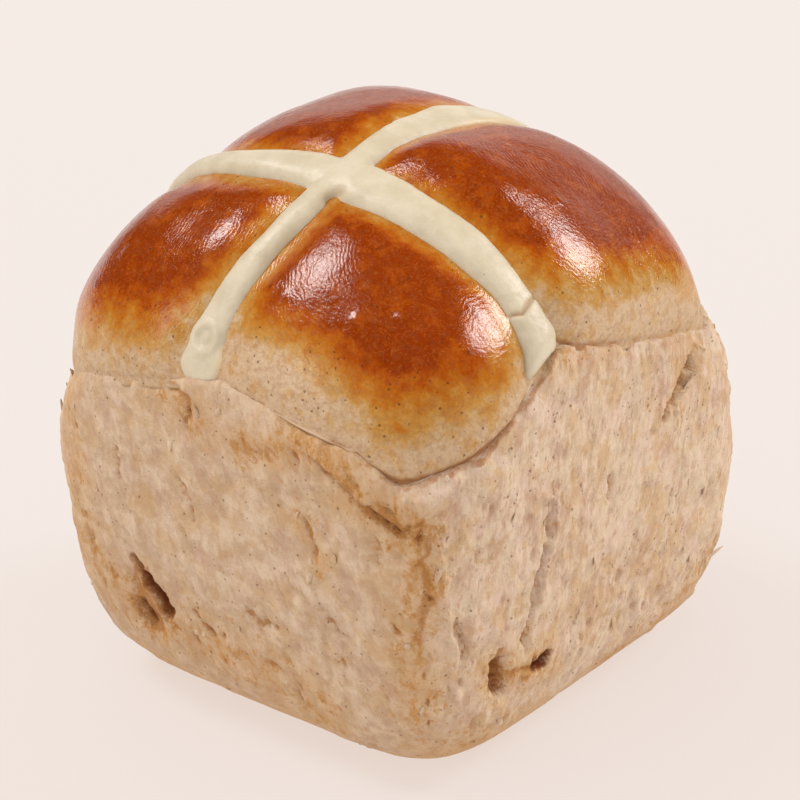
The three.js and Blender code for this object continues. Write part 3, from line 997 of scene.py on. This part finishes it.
def crumb_finish():
    crumb = Finish("torn_crumb")
    place = crumb.place()
    stirred = crumb.stir(place, 2.0, 1.4)
    grain = crumb.stir(grain_place(crumb, place), 2.4, 1.3)
    names = ("pale", "ochre", "depth", "base", "edge", "stain", "pit")
    pale, ochre, depth, base, edge, stain, pit = (crumb.attribute(name) for name in names)
    crumbs = crumb.noise(stirred, 2.6, 6, 0.58).between(0.34, 0.66)
    strands = crumb.noise(grain, 1.1, 4, 0.6).between(0.3, 0.5)
    fluff = crumb.noise(place, 0.3, 3, 0.6).between(0.3, 0.7)
    blush = crumb.noise(stirred, 3.6, 6, 0.62).between(0.46, 0.6)
    olive = crumb.noise(stirred, 4.5, 6, 0.66).between(0.48, 0.6)
    mauve = crumb.noise(grain, 3.2, 7, 0.7).between(0.5, 0.63)
    wisps = crumb.noise(grain, 0.9, 5, 0.7).between(0.5, 0.62)
    # Small dents: the bump sinks them, and painted shade darkens them.
    shaded_dents = 1 - crumb.cells(grain, 0.8).between(0.1, 0.4)
    shaded_dents = shaded_dents * crumb.noise(grain, 2.2, 3).between(0.45, 0.6)
    edge = edge + (crumb.noise(place, 1.5, 5) - 0.5) * 1.2
    patchy = crumb.noise(grain, 1.8, 8, 0.74) * 0.55 + crumb.noise(stirred, 1.2, 7, 0.74) * 0.45
    patchy = patchy + ochre * 0.12
    stain = stain + (crumb.noise(stirred, 0.9, 7, 0.76) - 0.5) * 2.6
    pit = pit + (crumb.noise(stirred, 0.9, 5, 0.7) - 0.5) * 0.6
    colour = crumb.blend(crumbs, paint(185, 157, 127), paint(209, 186, 159))
    colour = crumb.coats(colour, [
        (pale * 0.5, (216, 197, 172)),
        (blush * (pale * 0.25 + 0.25), (214, 188, 172)),
        (olive * (pale * 0.1 + 0.42), (192, 154, 106)),
        (mauve * (pale * 0.1 + 0.4), (172, 136, 116)),
        (wisps * (pale * 0.2 + 0.12), (180, 140, 116)),
        ((1 - strands) * 0.3, (172, 132, 102)),
        ((1 - fluff) * 0.12, (170, 132, 104)),
        (shaded_dents * (pale * 0.25 + 0.2), (154, 112, 82)),
        # Painted shade in the hollows and pores of the tear.
        (depth.between(0.1, 0.9) * 0.45, (162, 116, 86)),
        (base * 0.7, (198, 158, 116)),
        # Painted shade in the joint under the crust's rim.
        (edge.between(0.62, 1.05) * 0.75, (154, 102, 60)),
        (ochre * 0.5, (189, 146, 94)),
        (patchy.between(0.58, 0.64) * 0.75, (182, 133, 76)),
        (patchy.between(0.65, 0.72) * 0.75, (147, 97, 48)),
        # Marks of the tear: partly real brown stain, partly painted shade in their grooves and
        # holes.
        (stain.between(0.45, 1.0) * 0.75, (165, 112, 58)),
        (stain.between(1.1, 1.8) * 0.75, (112, 60, 26)),
        # Dark brown inside the deep holes and cracks: partly browned crumb, partly painted shade.
        (pit.between(0.25, 0.75) * 0.95, (104, 46, 16)),
        (specks(crumb, place, 0.85, 0.24) * 0.6, (104, 68, 46)),
    ])
    height = crumbs * 0.4 + strands * 0.3 + fluff * 0.2 - shaded_dents * 0.35
    light_inside = crumb.light_inside(0.2, (1.0, 0.7, 0.5), 0.8)
    return crumb.close(colour, 0.9, 0.12, Normal=crumb.bump(height, 0.15), **light_inside)


torn_crumb.data.materials.append(crumb_finish())

# %% [markdown]
# ## Loose shreds
# A torn face isn't clean: crumbs and thin shreds stay hanging on it by one end. They can't be made
# by moving the points of the face, since they hang over it. So each shred is a small closed body of
# its own, rooted just under the face, that bends as it tapers. All of them together are one piece.

# %% Hang shreds on the torn faces
SHRED_STEPS = 7
SHRED_AROUND = 7
SHREDS_SCATTERED = 150
SHRED_SEED = 301
SHREDS_ABOVE = 7.0  # lower down the face turns under, and none hang there
ROWS_WITHOUT = 12  # the lowest rows of the face
# Each placed shred: its root in mm, where it points, its length, width and thickness.
PLACED_SHREDS = [
    ((33.6, 25.6, 11.2), (-0.15, 0.95, 0.3), 4.2, 1.0, 0.3),
    ((-30.4, -34.8, 42.2), (-0.8, 0.1, -0.3), 1.1, 1.9, 1.4),
    ((-30.6, -34.8, 38.4), (-0.8, 0.0, 0.2), 0.9, 1.6, 1.2),
    ((-30.0, -34.9, 31.4), (-0.7, 0.1, -0.4), 1.0, 1.4, 1.0),
    ((34.0, 27.0, 40.0), (0.4, 0.5, 0.4), 1.2, 1.3, 0.8),
    ((33.4, 26.4, 20.0), (0.4, 0.6, 0.3), 1.4, 1.2, 0.7),
    ((36.0, 16.8, 42.4), (0.15, 0.65, 0.75), 4.0, 1.1, 0.35),
    ((35.9, -13.6, 36.6), (0.1, 0.25, 1.0), 3.2, 1.2, 0.4),
]
PLACED_CURL = 0.25


def shred_shape(root, along, outwards, length, width, thickness, curl):
    """The grid of one shred: a tapering, curling tongue."""
    share = np.linspace(0, 1, SHRED_STEPS)[:, None]
    along = normalised(np.array(along, float))
    aside = normalised(np.cross(along, outwards))
    lifted = normalised(np.cross(aside, along))
    bend = share**2 * curl
    middle = root + along * share * length + lifted * bend * length
    angle = np.linspace(0, 2 * np.pi, SHRED_AROUND, endpoint=False)
    taper = np.sqrt(np.clip(1 - share**2.2, 0.02, 1))
    across = np.cos(angle) * width / 2 * taper
    up = np.sin(angle) * thickness / 2 * taper
    return middle[:, None, :] + across[..., None] * aside + up[..., None] * lifted


def scattered_shreds():
    """Shreds at repeatable random places of the torn faces, most of them along the grain."""
    normals = outward(crumb_grid)
    first_row = len(CAP_STEPS)
    for number in range(SHREDS_SCATTERED):
        luck = [float(hashed(np.array([number, 7, k]), SHRED_SEED)) for k in range(8)]
        column = int(luck[0] * COLUMNS)
        row = first_row + int(luck[1] ** 1.1 * (FACE_ROWS - ROWS_WITHOUT))
        root, normal = crumb_grid[column, row], normals[column, row]
        if root[2] < SHREDS_ABOVE:
            continue
        level = normalised(np.cross([0, 0, 1.0], normal))
        up_or_down = 1 if luck[2] > 0.3 else -1
        way = up_or_down * (np.array([0, 0, 1.0]) + level * (luck[3] - 0.25) * 1.1)
        along = normalised(way + normal * (0.02 + 0.16 * luck[4]))
        length = 0.8 + 1.6 * luck[5] ** 2
        width, thickness = 0.5 + 0.6 * luck[6], 0.22 + 0.2 * luck[7]
        yield root - normal * 0.12, along, normal, length, width, thickness, luck[4] * 0.15


def hang_shreds():
    shreds = [shred_shape(*recipe) for recipe in scattered_shreds()]
    for root, along, *size in PLACED_SHREDS:
        facing = normalised(np.array([root[0], root[1], 0.0]))
        shreds.append(shred_shape(np.array(root), along, facing, *size, PLACED_CURL))
    points, faces = join_bars(shreds)
    points = points + 0.07 * pushed(points, 0.6, 311)
    pale = 0.3 + smooth_step(30, 34, points[:, 0]) * 0.6
    return make_piece("torn_shreds", points, faces, {"pale": pale})


torn_shreds = hang_shreds()
torn_shreds.data.materials.append(torn_crumb.data.materials[0])

# %% [markdown]
# ## The glazed crust
# In the oven the crust set first, and the rising dough swelled against it, so the dome bulges into
# four pillows between the arms of the cross. Its edge is tucked in behind the torn crumb. A crust
# has a real thickness, so the piece is a closed shell with an underside.

# %% Lay out the crust's rows
DOME_ROWS = 112
LIP_STEPS = np.array([2.0, 1.6, 1.25, 0.95, 0.7, 0.5, 0.32, 0.15, 0.0, -0.2, -0.5, -0.9, -1.4])
UNDER_STEPS = np.array([-1.4, -0.2, 2.0, 6.0, 14.0, 26.0])
CRUST_SEARCH = (0.5, 100, 260)  # the first and last tilt off straight up, and the points between


def crust_rows():
    lines = meridians(crust_skin, *CRUST_SEARCH)
    walked = walk_lengths(lines)
    rim = rim_height(np.degrees(BEARINGS))
    shown = np.empty((COLUMNS, DOME_ROWS + len(LIP_STEPS)))
    hidden = np.empty((COLUMNS, len(UNDER_STEPS)))
    for column in range(COLUMNS):
        heights = np.maximum.accumulate(-lines[column, :, 2])
        at_rim = np.interp(-rim[column], heights, walked[column])
        start = at_rim - LIP_STEPS[0]
        shown[column, :DOME_ROWS] = np.linspace(0.3, start, DOME_ROWS, endpoint=False)
        shown[column, DOME_ROWS:] = at_rim - LIP_STEPS
        hidden[column] = at_rim - UNDER_STEPS
    edge = shown[:, DOME_ROWS + list(LIP_STEPS).index(0.0)][:, None]
    return (
        resample(lines, walked, shown), edge - shown,
        resample(lines, walked, hidden), edge - hidden,
    )


crust_top, above_rim, crust_under, above_rim_under = crust_rows()
print("crust grid:", crust_top.shape[0], "columns of", crust_top.shape[1], "points")

# %% Blisters, swells and flatter places
BLISTERS = {
    "by the left arm": (4.2, -29.5, 66.8, 0.9, 0.3),
    "left of the front lobe": (7.1, -30.3, 65.7, 0.8, 0.3),
    "right of the front lobe": (23.1, -25.5, 64.4, 1.0, 0.4),
    "middle of the front lobe": (18.3, -28.7, 64.4, 0.7, 0.3),
    "on the left lobe": (-22.0, -29.0, 64.4, 1.2, 0.25),
    "on the right lobe": (24.0, 4.0, 70.0, 0.9, 0.25),
}
SWELLS = {
    "side of the right lobe": (29.8, -1.5, 66.2, 10.0, 1.4),
    "outer back of the right lobe": (31.0, 17.0, 66.0, 11.0, -1.5),
    "right shoulder of the front lobe": (30.2, -25.5, 60.5, 7.5, 1.6),
    "behind the crossing": (19.0, -7.0, 75.0, 5.0, 0.7),
}
# Flatter places draw broad shines: a place in mm, where it faces, its reach and its strength.
FLATS = {
    "side of the right lobe": ((31.7, -1.0, 67.1), (0.73, 0.01, 0.69), 6.5, 0.75),
    "side of the front lobe": ((31.2, -20.5, 62.4), (0.73, 0.03, 0.69), 4.5, 0.5),
    "left lobe by the paste": ((-3.8, -24.5, 71.1), (0.07, -0.59, 0.80), 3.2, 0.7),
    "higher by the paste": ((-2.6, -20.2, 73.2), (0.07, -0.60, 0.80), 3.0, 0.7),
    "lower by the paste": ((-6.4, -27.6, 69.2), (0.08, -0.59, 0.81), 3.0, 0.5),
    "top of the left lobe": ((-9.2, -26.0, 70.8), (-0.22, -0.50, 0.84), 4.2, 0.75),
}
print("small forms on the crust:", len(BLISTERS) + len(SWELLS) + len(FLATS))

# %% [markdown]
# Between the arms the crust puffs up into pillows. Near its edge it steps in, and at the front
# corner it is tucked in most, under a short pale lip.

# %% Puff up the crust
CRUST_THICKNESS = 1.1
PILLOW_RISE = 1.3
PILLOW_SINK = 0.6  # what the pillows lose beside the paste, so that the dome keeps its height
PILLOW_WIDTH = 8.6
NARROW_WIDTH = 2.4  # on the left of the long arm the pillow rises more quickly
VALLEY_FILL = 1.1  # the crust runs on under the paste, and its own valley is shallower
BACK_SWELL = 1.7  # the lobes behind the crossing arm rise steeply from it
LIP_BEARINGS = (-77, -56)


def pillows(points, sides, on_dome):
    """How far the lobes between the arms of the cross stand up."""
    long_arm, crossing_arm = (np.array(arm["guide"]) for arm in ARMS)
    right_of = points[..., 0] - np.interp(points[..., 1], long_arm[:, 1], long_arm[:, 0])
    widths = (np.where(right_of > 0, PILLOW_WIDTH, NARROW_WIDTH), PILLOW_WIDTH)
    pillow = np.prod([1 - hill(side, 0, width) for side, width in zip(sides, widths)], axis=0)
    pillow = PILLOW_RISE * pillow - PILLOW_SINK
    filled = VALLEY_FILL * np.exp(-((np.minimum(*sides) / VALLEY_WIDTH) ** 4))
    behind = points[..., 1] - np.interp(points[..., 0], crossing_arm[:, 0], crossing_arm[:, 1])
    swell = hill(behind, 9, np.where(behind < 9, 4.2, 9.0)) * (1 - hill(sides[0], 0, 5.0))
    swell = swell * smooth_step(29, 18, points[..., 0]) * smooth_step(-12, 8, points[..., 0])
    return (pillow + filled) * on_dome + BACK_SWELL * swell


def tucked_edge(points, above, bearing):
    """How far the crust is drawn in near its edge: most at the front corner."""
    tuck = 0.1 + 0.9 * hill(bearing, -50, 20) + 0.25 * hill(bearing, -5, 30)
    tuck = tuck + 0.2 * noise(points, 9.0, 91)
    height = np.maximum(above, 0)
    step = RIM_STEP * np.exp(-height / 6) * (0.3 + 0.6 * tuck)
    step = step + shoulder(bearing) * np.exp(-((height / 7.5) ** 2))
    return step, tuck * (0.9 * np.exp(-height / 1.6) - 0.25) + 0.25 * np.exp(-height / 0.8)


def pale_lip(points, bearing):
    """1 along the short lip of the crust at the front, and 0 elsewhere."""
    start, end = LIP_BEARINGS
    in_lip = smooth_step(start, start + 3, bearing) * smooth_step(end, end - 3, bearing)
    return in_lip * np.clip(0.8 + 0.4 * noise(points, 3.0, 121), 0, 1.1)


def crust_relief(points, above):
    bearing = bearing_of(points)
    sides = arm_distances(points)
    on_dome = smooth_step(0, 12, above)
    lumps = 0.25 * rough_noise(points, 11.0, 101, 2) * on_dome
    dimples = 0.05 * rough_noise(points, 2.6, 111, 3)
    step, crease = tucked_edge(points, above, bearing)
    rise = pillows(points, sides, on_dome) + lumps + dimples - step - crease
    for *place, reach, high in [*BLISTERS.values(), *SWELLS.values()]:
        rise = rise + high * mound(points, place, reach)
    for place, facing, reach, strength in FLATS.values():
        proud = (points - place) @ np.array(facing) + rise
        rise = rise - strength * mound(points, place, reach) * proud
    lip = pale_lip(points, bearing)
    return rise + 0.55 * lip * hill(above, 0.1, 0.35), np.minimum(*sides), lip


crust_rise, crust_away, crust_lip = crust_relief(crust_top, above_rim)
crust_top_out = crust_top + outward(crust_top) * crust_rise[..., None]
under_rise = crust_relief(crust_under, above_rim_under)[0] - CRUST_THICKNESS
crust_under_out = crust_under + outward(crust_under[:, ::-1])[:, ::-1] * under_rise[..., None]
crust_grid = np.concatenate([crust_top_out, crust_under_out], axis=1)
print(f"the pillows rise {crust_rise.max():.1f} mm")
print(f"the edge is tucked in {-crust_rise.min():.1f} mm")

# %% [markdown]
# Heat browns what stands highest. The crust goes from the colour of the crumb at its edge, through
# gold and amber, to a deep chestnut on top, and stays a little paler beside the paste.

# %% How brown the crust is
CROWNS = [(17, -20), (20, 8), (-18, 12), (-20, -26)]  # the middle of each lobe, seen from above
GOLD_ABOVE = 2.5
CHESTNUT_ABOVE = 14.5
PALER_PATCHES = {
    # The foot of the left side and the face and foot of the front lobe are paler partly from
    # lighter baking and partly as a painted faint shine.
    "foot of the left side": (3.0, -36.5, 60.0, 6.0, 1.5),
    "face of the front lobe": (11.0, -36.0, 60.5, 6.0, 2.8),
    "outer right lobe": (33.0, 12.0, 61.0, 15.0, 3.2),
    "foot of the front lobe": (13.0, -36.0, 58.0, 9.0, 2.0),
    "beside the right arm": (29.0, -18.0, 64.0, 5.0, 2.5),
}


def browning(points, above):
    uneven = 1.8 * rough_noise(points, 7.0, 131, 4) + 0.5 * noise(points, 1.4, 141)
    lifted = above + uneven
    for *place, reach, less in PALER_PATCHES.values():
        lifted = lifted - less * mound(points, place, reach)
    return np.clip((lifted - GOLD_ABOVE) / (CHESTNUT_ABOVE - GOLD_ABOVE), 0, 1)


def crust_facts():
    hidden = np.zeros(crust_under.shape[:2])
    # crease: the crust's foot, where it tucks in against the crumb, gets painted shade.
    crease = hill(above_rim, -0.3, 1.1) * (0.3 + 0.7 * hill(bearing_of(crust_top), -40, 50))
    plan = crust_top[..., :2]
    ring = np.min([np.linalg.norm(plan - crown, axis=-1) for crown in CROWNS], axis=0)
    facts = {
        "brown": (browning(crust_top, above_rim), hidden),
        "away": (crust_away, hidden + 20),
        "above": (above_rim, hidden),
        "lip": (crust_lip * hill(above_rim, 0.1, 0.35), hidden),
        "crease": (crease, hidden),
        "ring": (ring, hidden),
    }
    return {label: np.concatenate(pair, axis=1) for label, pair in facts.items()}


glazed_crust = make_wrapped_piece("glazed_crust", crust_grid, crust_facts())

# %% [markdown]
# The glaze is a thin sugar syrup brushed on hot: the skin shows through it, fine wrinkles and
# specks break up its shine, and it thins out towards the rim. So the colour comes from how brown
# the crust is, and the shine from the shader's roughness and a fine bump.

# %% Finish the crust
# How brown, from 0 at the edge to 1 on top, and the colour there.
BROWNS = {
    0.0: (198, 168, 134), 0.12: (194, 156, 106), 0.28: (188, 138, 66),
    0.52: (180, 108, 27), 0.78: (162, 73, 9), 1.0: (136, 50, 5),
}


def crust_finish():
    crust = Finish("glazed_crust")
    place = crust.place()
    stirred = crust.stir(place, 1.6, 0.9)
    names = ("away", "above", "brown", "crease", "lip", "ring")
    away, above, browned, crease, lip, ring = (crust.attribute(name) for name in names)
    brown = browned * (away.between(2.6, 7.0) * 0.58 + 0.42)
    brown = brown + (crust.noise(stirred, 2.2, 5, 0.6) - 0.5) * 1.0
    brown = brown + (crust.noise(stirred, 0.5, 4, 0.7) - 0.5) * 0.2
    stops = [(at, paint(*tint)) for at, tint in BROWNS.items()]
    colour = crust.node("ShaderNodeValToRGB", {"Fac": brown}, stops=stops)
    baked = browned.between(0.25, 0.8)
    flecks = crust.noise(stirred, 0.34, 3, 0.7).between(0.52, 0.68)
    grains = 1 - crust.noise(place, 0.36, 3, 0.7).between(0.35, 0.62)
    grit = (1 - crust.noise(stirred, 0.9, 6, 0.72).between(0.36, 0.56)) * (1 - baked * 0.75)
    crease = crease + (crust.noise(place, 1.8, 5) - 0.5) * 1.0
    colour = crust.coats(colour, [
        (flecks * baked * 0.36, (190, 106, 40)),
        (grains * 0.4, (218, 210, 196), "MULTIPLY"),
        (grit * 0.45, (152, 108, 66)),
        # Painted shade in the crease at the crust's foot.
        (crease.between(0.35, 0.8) * 0.8, (150, 98, 54)),
        (lip.between(0.25, 0.7), (202, 174, 142)),
        (specks(crust, place, 0.8, 0.24) * 0.7, (88, 50, 28)),
    ])
    shine = above.between(1.0, 8.0)
    dull = crust.noise(stirred, 0.8, 6, 0.7).between(0.46, 0.62)
    rings = (ring * 11.0 + crust.noise(place, 3.0, 3) * 26.0).sine()
    skin = rings * 0.07 + crust.noise(stirred, 1.1, 4, 0.6) + crust.noise(place, 0.3, 3, 0.6) * 0.4
    roughness = 0.5 - shine * 0.42 + dull * 0.1
    light_inside = crust.light_inside(0.05, (1.0, 0.4, 0.15), 0.8)
    return crust.close(colour, roughness, 0.5, Normal=crust.bump(skin, 0.07), **light_inside)


glazed_crust.data.materials.append(crust_finish())

# %% [markdown]
# ## The piped cross
# The cross is flour and water paste, piped in two strokes before baking, so it is a soft flat band
# with a rounded top that sinks into the valley between the lobes. Each stroke is made as a closed
# bar along its guide. A voxel remesh then melts the two into one body, as the paste did.

# %% Shape one stroke of paste
PASTE_TOP = 1.95
PASTE_SUNK = 0.75  # how deep under the crust the stroke is widest, so that its edges run into it
PASTE_FOOT = 1.5
PASTE_ROUNDNESS = 2.5
STROKE_STEPS = 260
STROKE_AROUND = 26
END_ROUNDING = 3.4
CURVE_STEPS = 40  # between two points of a guide


def along_guide(guide, count):
    """Evenly spaced points on a smooth curve through the guide's points."""
    guide = np.array(guide, float)
    held = np.vstack([2 * guide[0] - guide[1], guide, 2 * guide[-1] - guide[-2]])
    pieces = []
    for a, b, c, d in zip(held, held[1:], held[2:], held[3:]):
        t = np.linspace(0, 1, CURVE_STEPS, endpoint=False)[:, None]
        pieces.append(0.5 * (2 * b + (c - a) * t + (2 * a - 5 * b + 4 * c - d) * t**2
                             + (3 * b - a - 3 * c + d) * t**3))
    curve = np.vstack(pieces + [guide[-1:]])
    walked = walk_lengths(curve)
    even = np.linspace(0, walked[-1], count)
    line = np.stack([np.interp(even, walked, values) for values in curve.T], axis=-1)
    return line, walked[-1]


def paste_stroke(arm, lift, slant, seed):
    """The grid of one stroke: steps along it, and points round its section."""
    line, length = along_guide(arm["guide"], STROKE_STEPS)
    share = np.linspace(0, 1, STROKE_STEPS)
    half = np.interp(share, np.linspace(0, 1, len(arm["half_widths"])), arm["half_widths"])
    half = half + 0.18 * noise(line, 5.0, seed)
    from_end = np.minimum(share, 1 - share) * length
    closing = np.sqrt(1 - (1 - np.clip(from_end / END_ROUNDING, 0, 1)) ** 2 * 0.8)
    outwards = normalised(line - HEART)
    aside = normalised(np.cross(np.gradient(line, axis=0), outwards))
    angle = np.linspace(0, 2 * np.pi, STROKE_AROUND, endpoint=False)
    round_it = [np.cos(angle), np.sin(angle)]
    across, up = (np.sign(side) * np.abs(side) ** (2 / PASTE_ROUNDNESS) for side in round_it)
    slide = slant * across[None, :] * smooth_step(0.86, 1.0, share)[:, None]
    offset = across[None, :, None] * (half * closing)[:, None, None] * aside[:, None, :]
    along = normalised(np.gradient(line, axis=0))[:, None, :] * slide[..., None]
    directions = normalised(line[:, None, :] + offset + along - HEART)
    top = (PASTE_TOP + lift) * closing * smooth_step(-0.06, 0.2, share)
    shown, hidden = up * (top[:, None] + PASTE_SUNK), up * (PASTE_FOOT - PASTE_SUNK)
    height = np.where(up > 0, shown, hidden) - PASTE_SUNK
    return meet(crust_skin, directions) + directions * height[..., None]


for arm in ARMS:
    print(f"a stroke of paste {along_guide(arm['guide'], STROKE_STEPS)[1]:.0f} mm long")


# %% Melt the strokes together
PASTE_VOXEL = 0.26


def apply_modifier(piece, kind, **settings):
    modifier = piece.modifiers.new(kind.lower(), kind)
    for name, value in settings.items():
        setattr(modifier, name, value)
    ready = piece.evaluated_get(bpy.context.evaluated_depsgraph_get())
    mesh = bpy.data.meshes.new_from_object(ready)
    piece.modifiers.clear()
    piece.data = mesh


def melt_cross():
    strokes = [paste_stroke(ARM_ALONG, 0.0, 0.0, 151), paste_stroke(ARM_ACROSS, 0.15, 2.4, 152)]
    cross = make_piece("piped_cross", *join_bars(strokes), {})
    voxels = {"voxel_size": PASTE_VOXEL * MM, "use_smooth_shade": True}
    apply_modifier(cross, "REMESH", mode="VOXEL", **voxels)
    apply_modifier(cross, "SMOOTH", factor=0.5, iterations=5)
    print("after melting:", len(cross.data.vertices), "points")
    return cross


piped_cross = melt_cross()

# %% Press the details into the paste
ARM_END_CURL = ((-2.9, -35.2, 59.4), 2.0)  # where the first stroke began: a curl, and its radius
PASTE_CRACK = [
    (30.2, -15.4, 62.0), (30.9, -13.7, 63.1), (31.7, -12.4, 63.1), (31.3, -10.6, 63.8),
    (31.1, -8.4, 64.2),
]
PINCH = [(4.1, -17.5, 74.2), (5.0, -16.4, 75.1)]  # where the two strokes first touch


def read_points(piece):
    held = np.empty(len(piece.data.vertices) * 3)
    piece.data.vertices.foreach_get("co", held)
    normal = np.empty_like(held)
    piece.data.vertices.foreach_get("normal", normal)
    return held.reshape(-1, 3) / MM - CENTRING, normal.reshape(-1, 3)


def press_details(cross):
    points, normal = read_points(cross)
    rise = 0.16 * rough_noise(points, 4.5, 161, 2) + 0.035 * rough_noise(points, 1.1, 171, 2)
    centre, radius = ARM_END_CURL
    ring = np.linalg.norm(points - centre, axis=-1)
    rise = rise + 0.3 * hill(ring, radius, 0.6) - 0.25 * hill(ring, radius * 0.45, 0.5)
    crack = distance_to_path(points, PASTE_CRACK)
    rise = rise - 0.42 * hill(crack, 0, 0.32)
    pinch = distance_to_path(points, PINCH)
    rise = rise - 0.5 * hill(pinch, 0, 0.8)
    beside = paste_distance(points)
    points = points + normal * rise[:, None]
    cross.data.vertices.foreach_set("co", ((points + CENTRING) * MM).reshape(-1))
    cross.data.update()
    # crack: the crack and the pinch are painted darker, as shade in those grooves.
    hold_facts(cross.data, {
        "crack": np.maximum(hill(crack, 0, 0.3), 0.5 * hill(pinch, 0, 0.6)),
        "thin": smooth_step(2.3, 3.6, beside),
    })
    cross.data.shade_smooth()
    print(f"the details are pressed in by {-rise.min():.1f} mm")


press_details(piped_cross)

# %% [markdown]
# Baked paste is cream coloured and satin smooth, slightly see-through at its thin edges, and picks
# up a few specks of spice from the dough.

# %% Finish the paste
def paste_finish():
    paste = Finish("cross_paste")
    place = paste.place()
    cloud = paste.noise(place, 4.0, 4, 0.6).between(0.3, 0.7)
    fine = paste.noise(place, 0.7, 4, 0.6)
    colour = paste.blend(cloud, paint(194, 181, 154), paint(207, 195, 170))
    thin = paste.attribute("thin") * (paste.noise(place, 1.4, 4, 0.6) * 0.6 + 0.7)
    colour = paste.coats(colour, [
        (thin.between(0.3, 1.0) * 0.5, (206, 176, 122)),
        # Painted shade in the crack and in the pinch.
        (paste.attribute("crack") * 0.7, (170, 124, 78)),
        (specks(paste, place, 2.0, 0.2) * 0.6, (120, 84, 52)),
    ])
    roughness = fine * 0.14 + 0.3
    light_inside = paste.light_inside(0.2, (1.0, 0.75, 0.5), 1.0)
    return paste.close(colour, roughness, 0.4, Normal=paste.bump(fine, 0.08), **light_inside)


piped_cross.data.materials.clear()
piped_cross.data.materials.append(paste_finish())

# %% [markdown]
# ## Hand over the pieces
# The crumb and the crust together stand for the bun, and the paste for the cross.

# %% Fit the pieces to the part
PIECES = {torn_crumb: "bun", torn_shreds: "bun", glazed_crust: "bun", piped_cross: "cross"}
for piece, node in PIECES.items():
    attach(piece, "root")
    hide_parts(node)
print("pieces fitted:", len(PIECES))
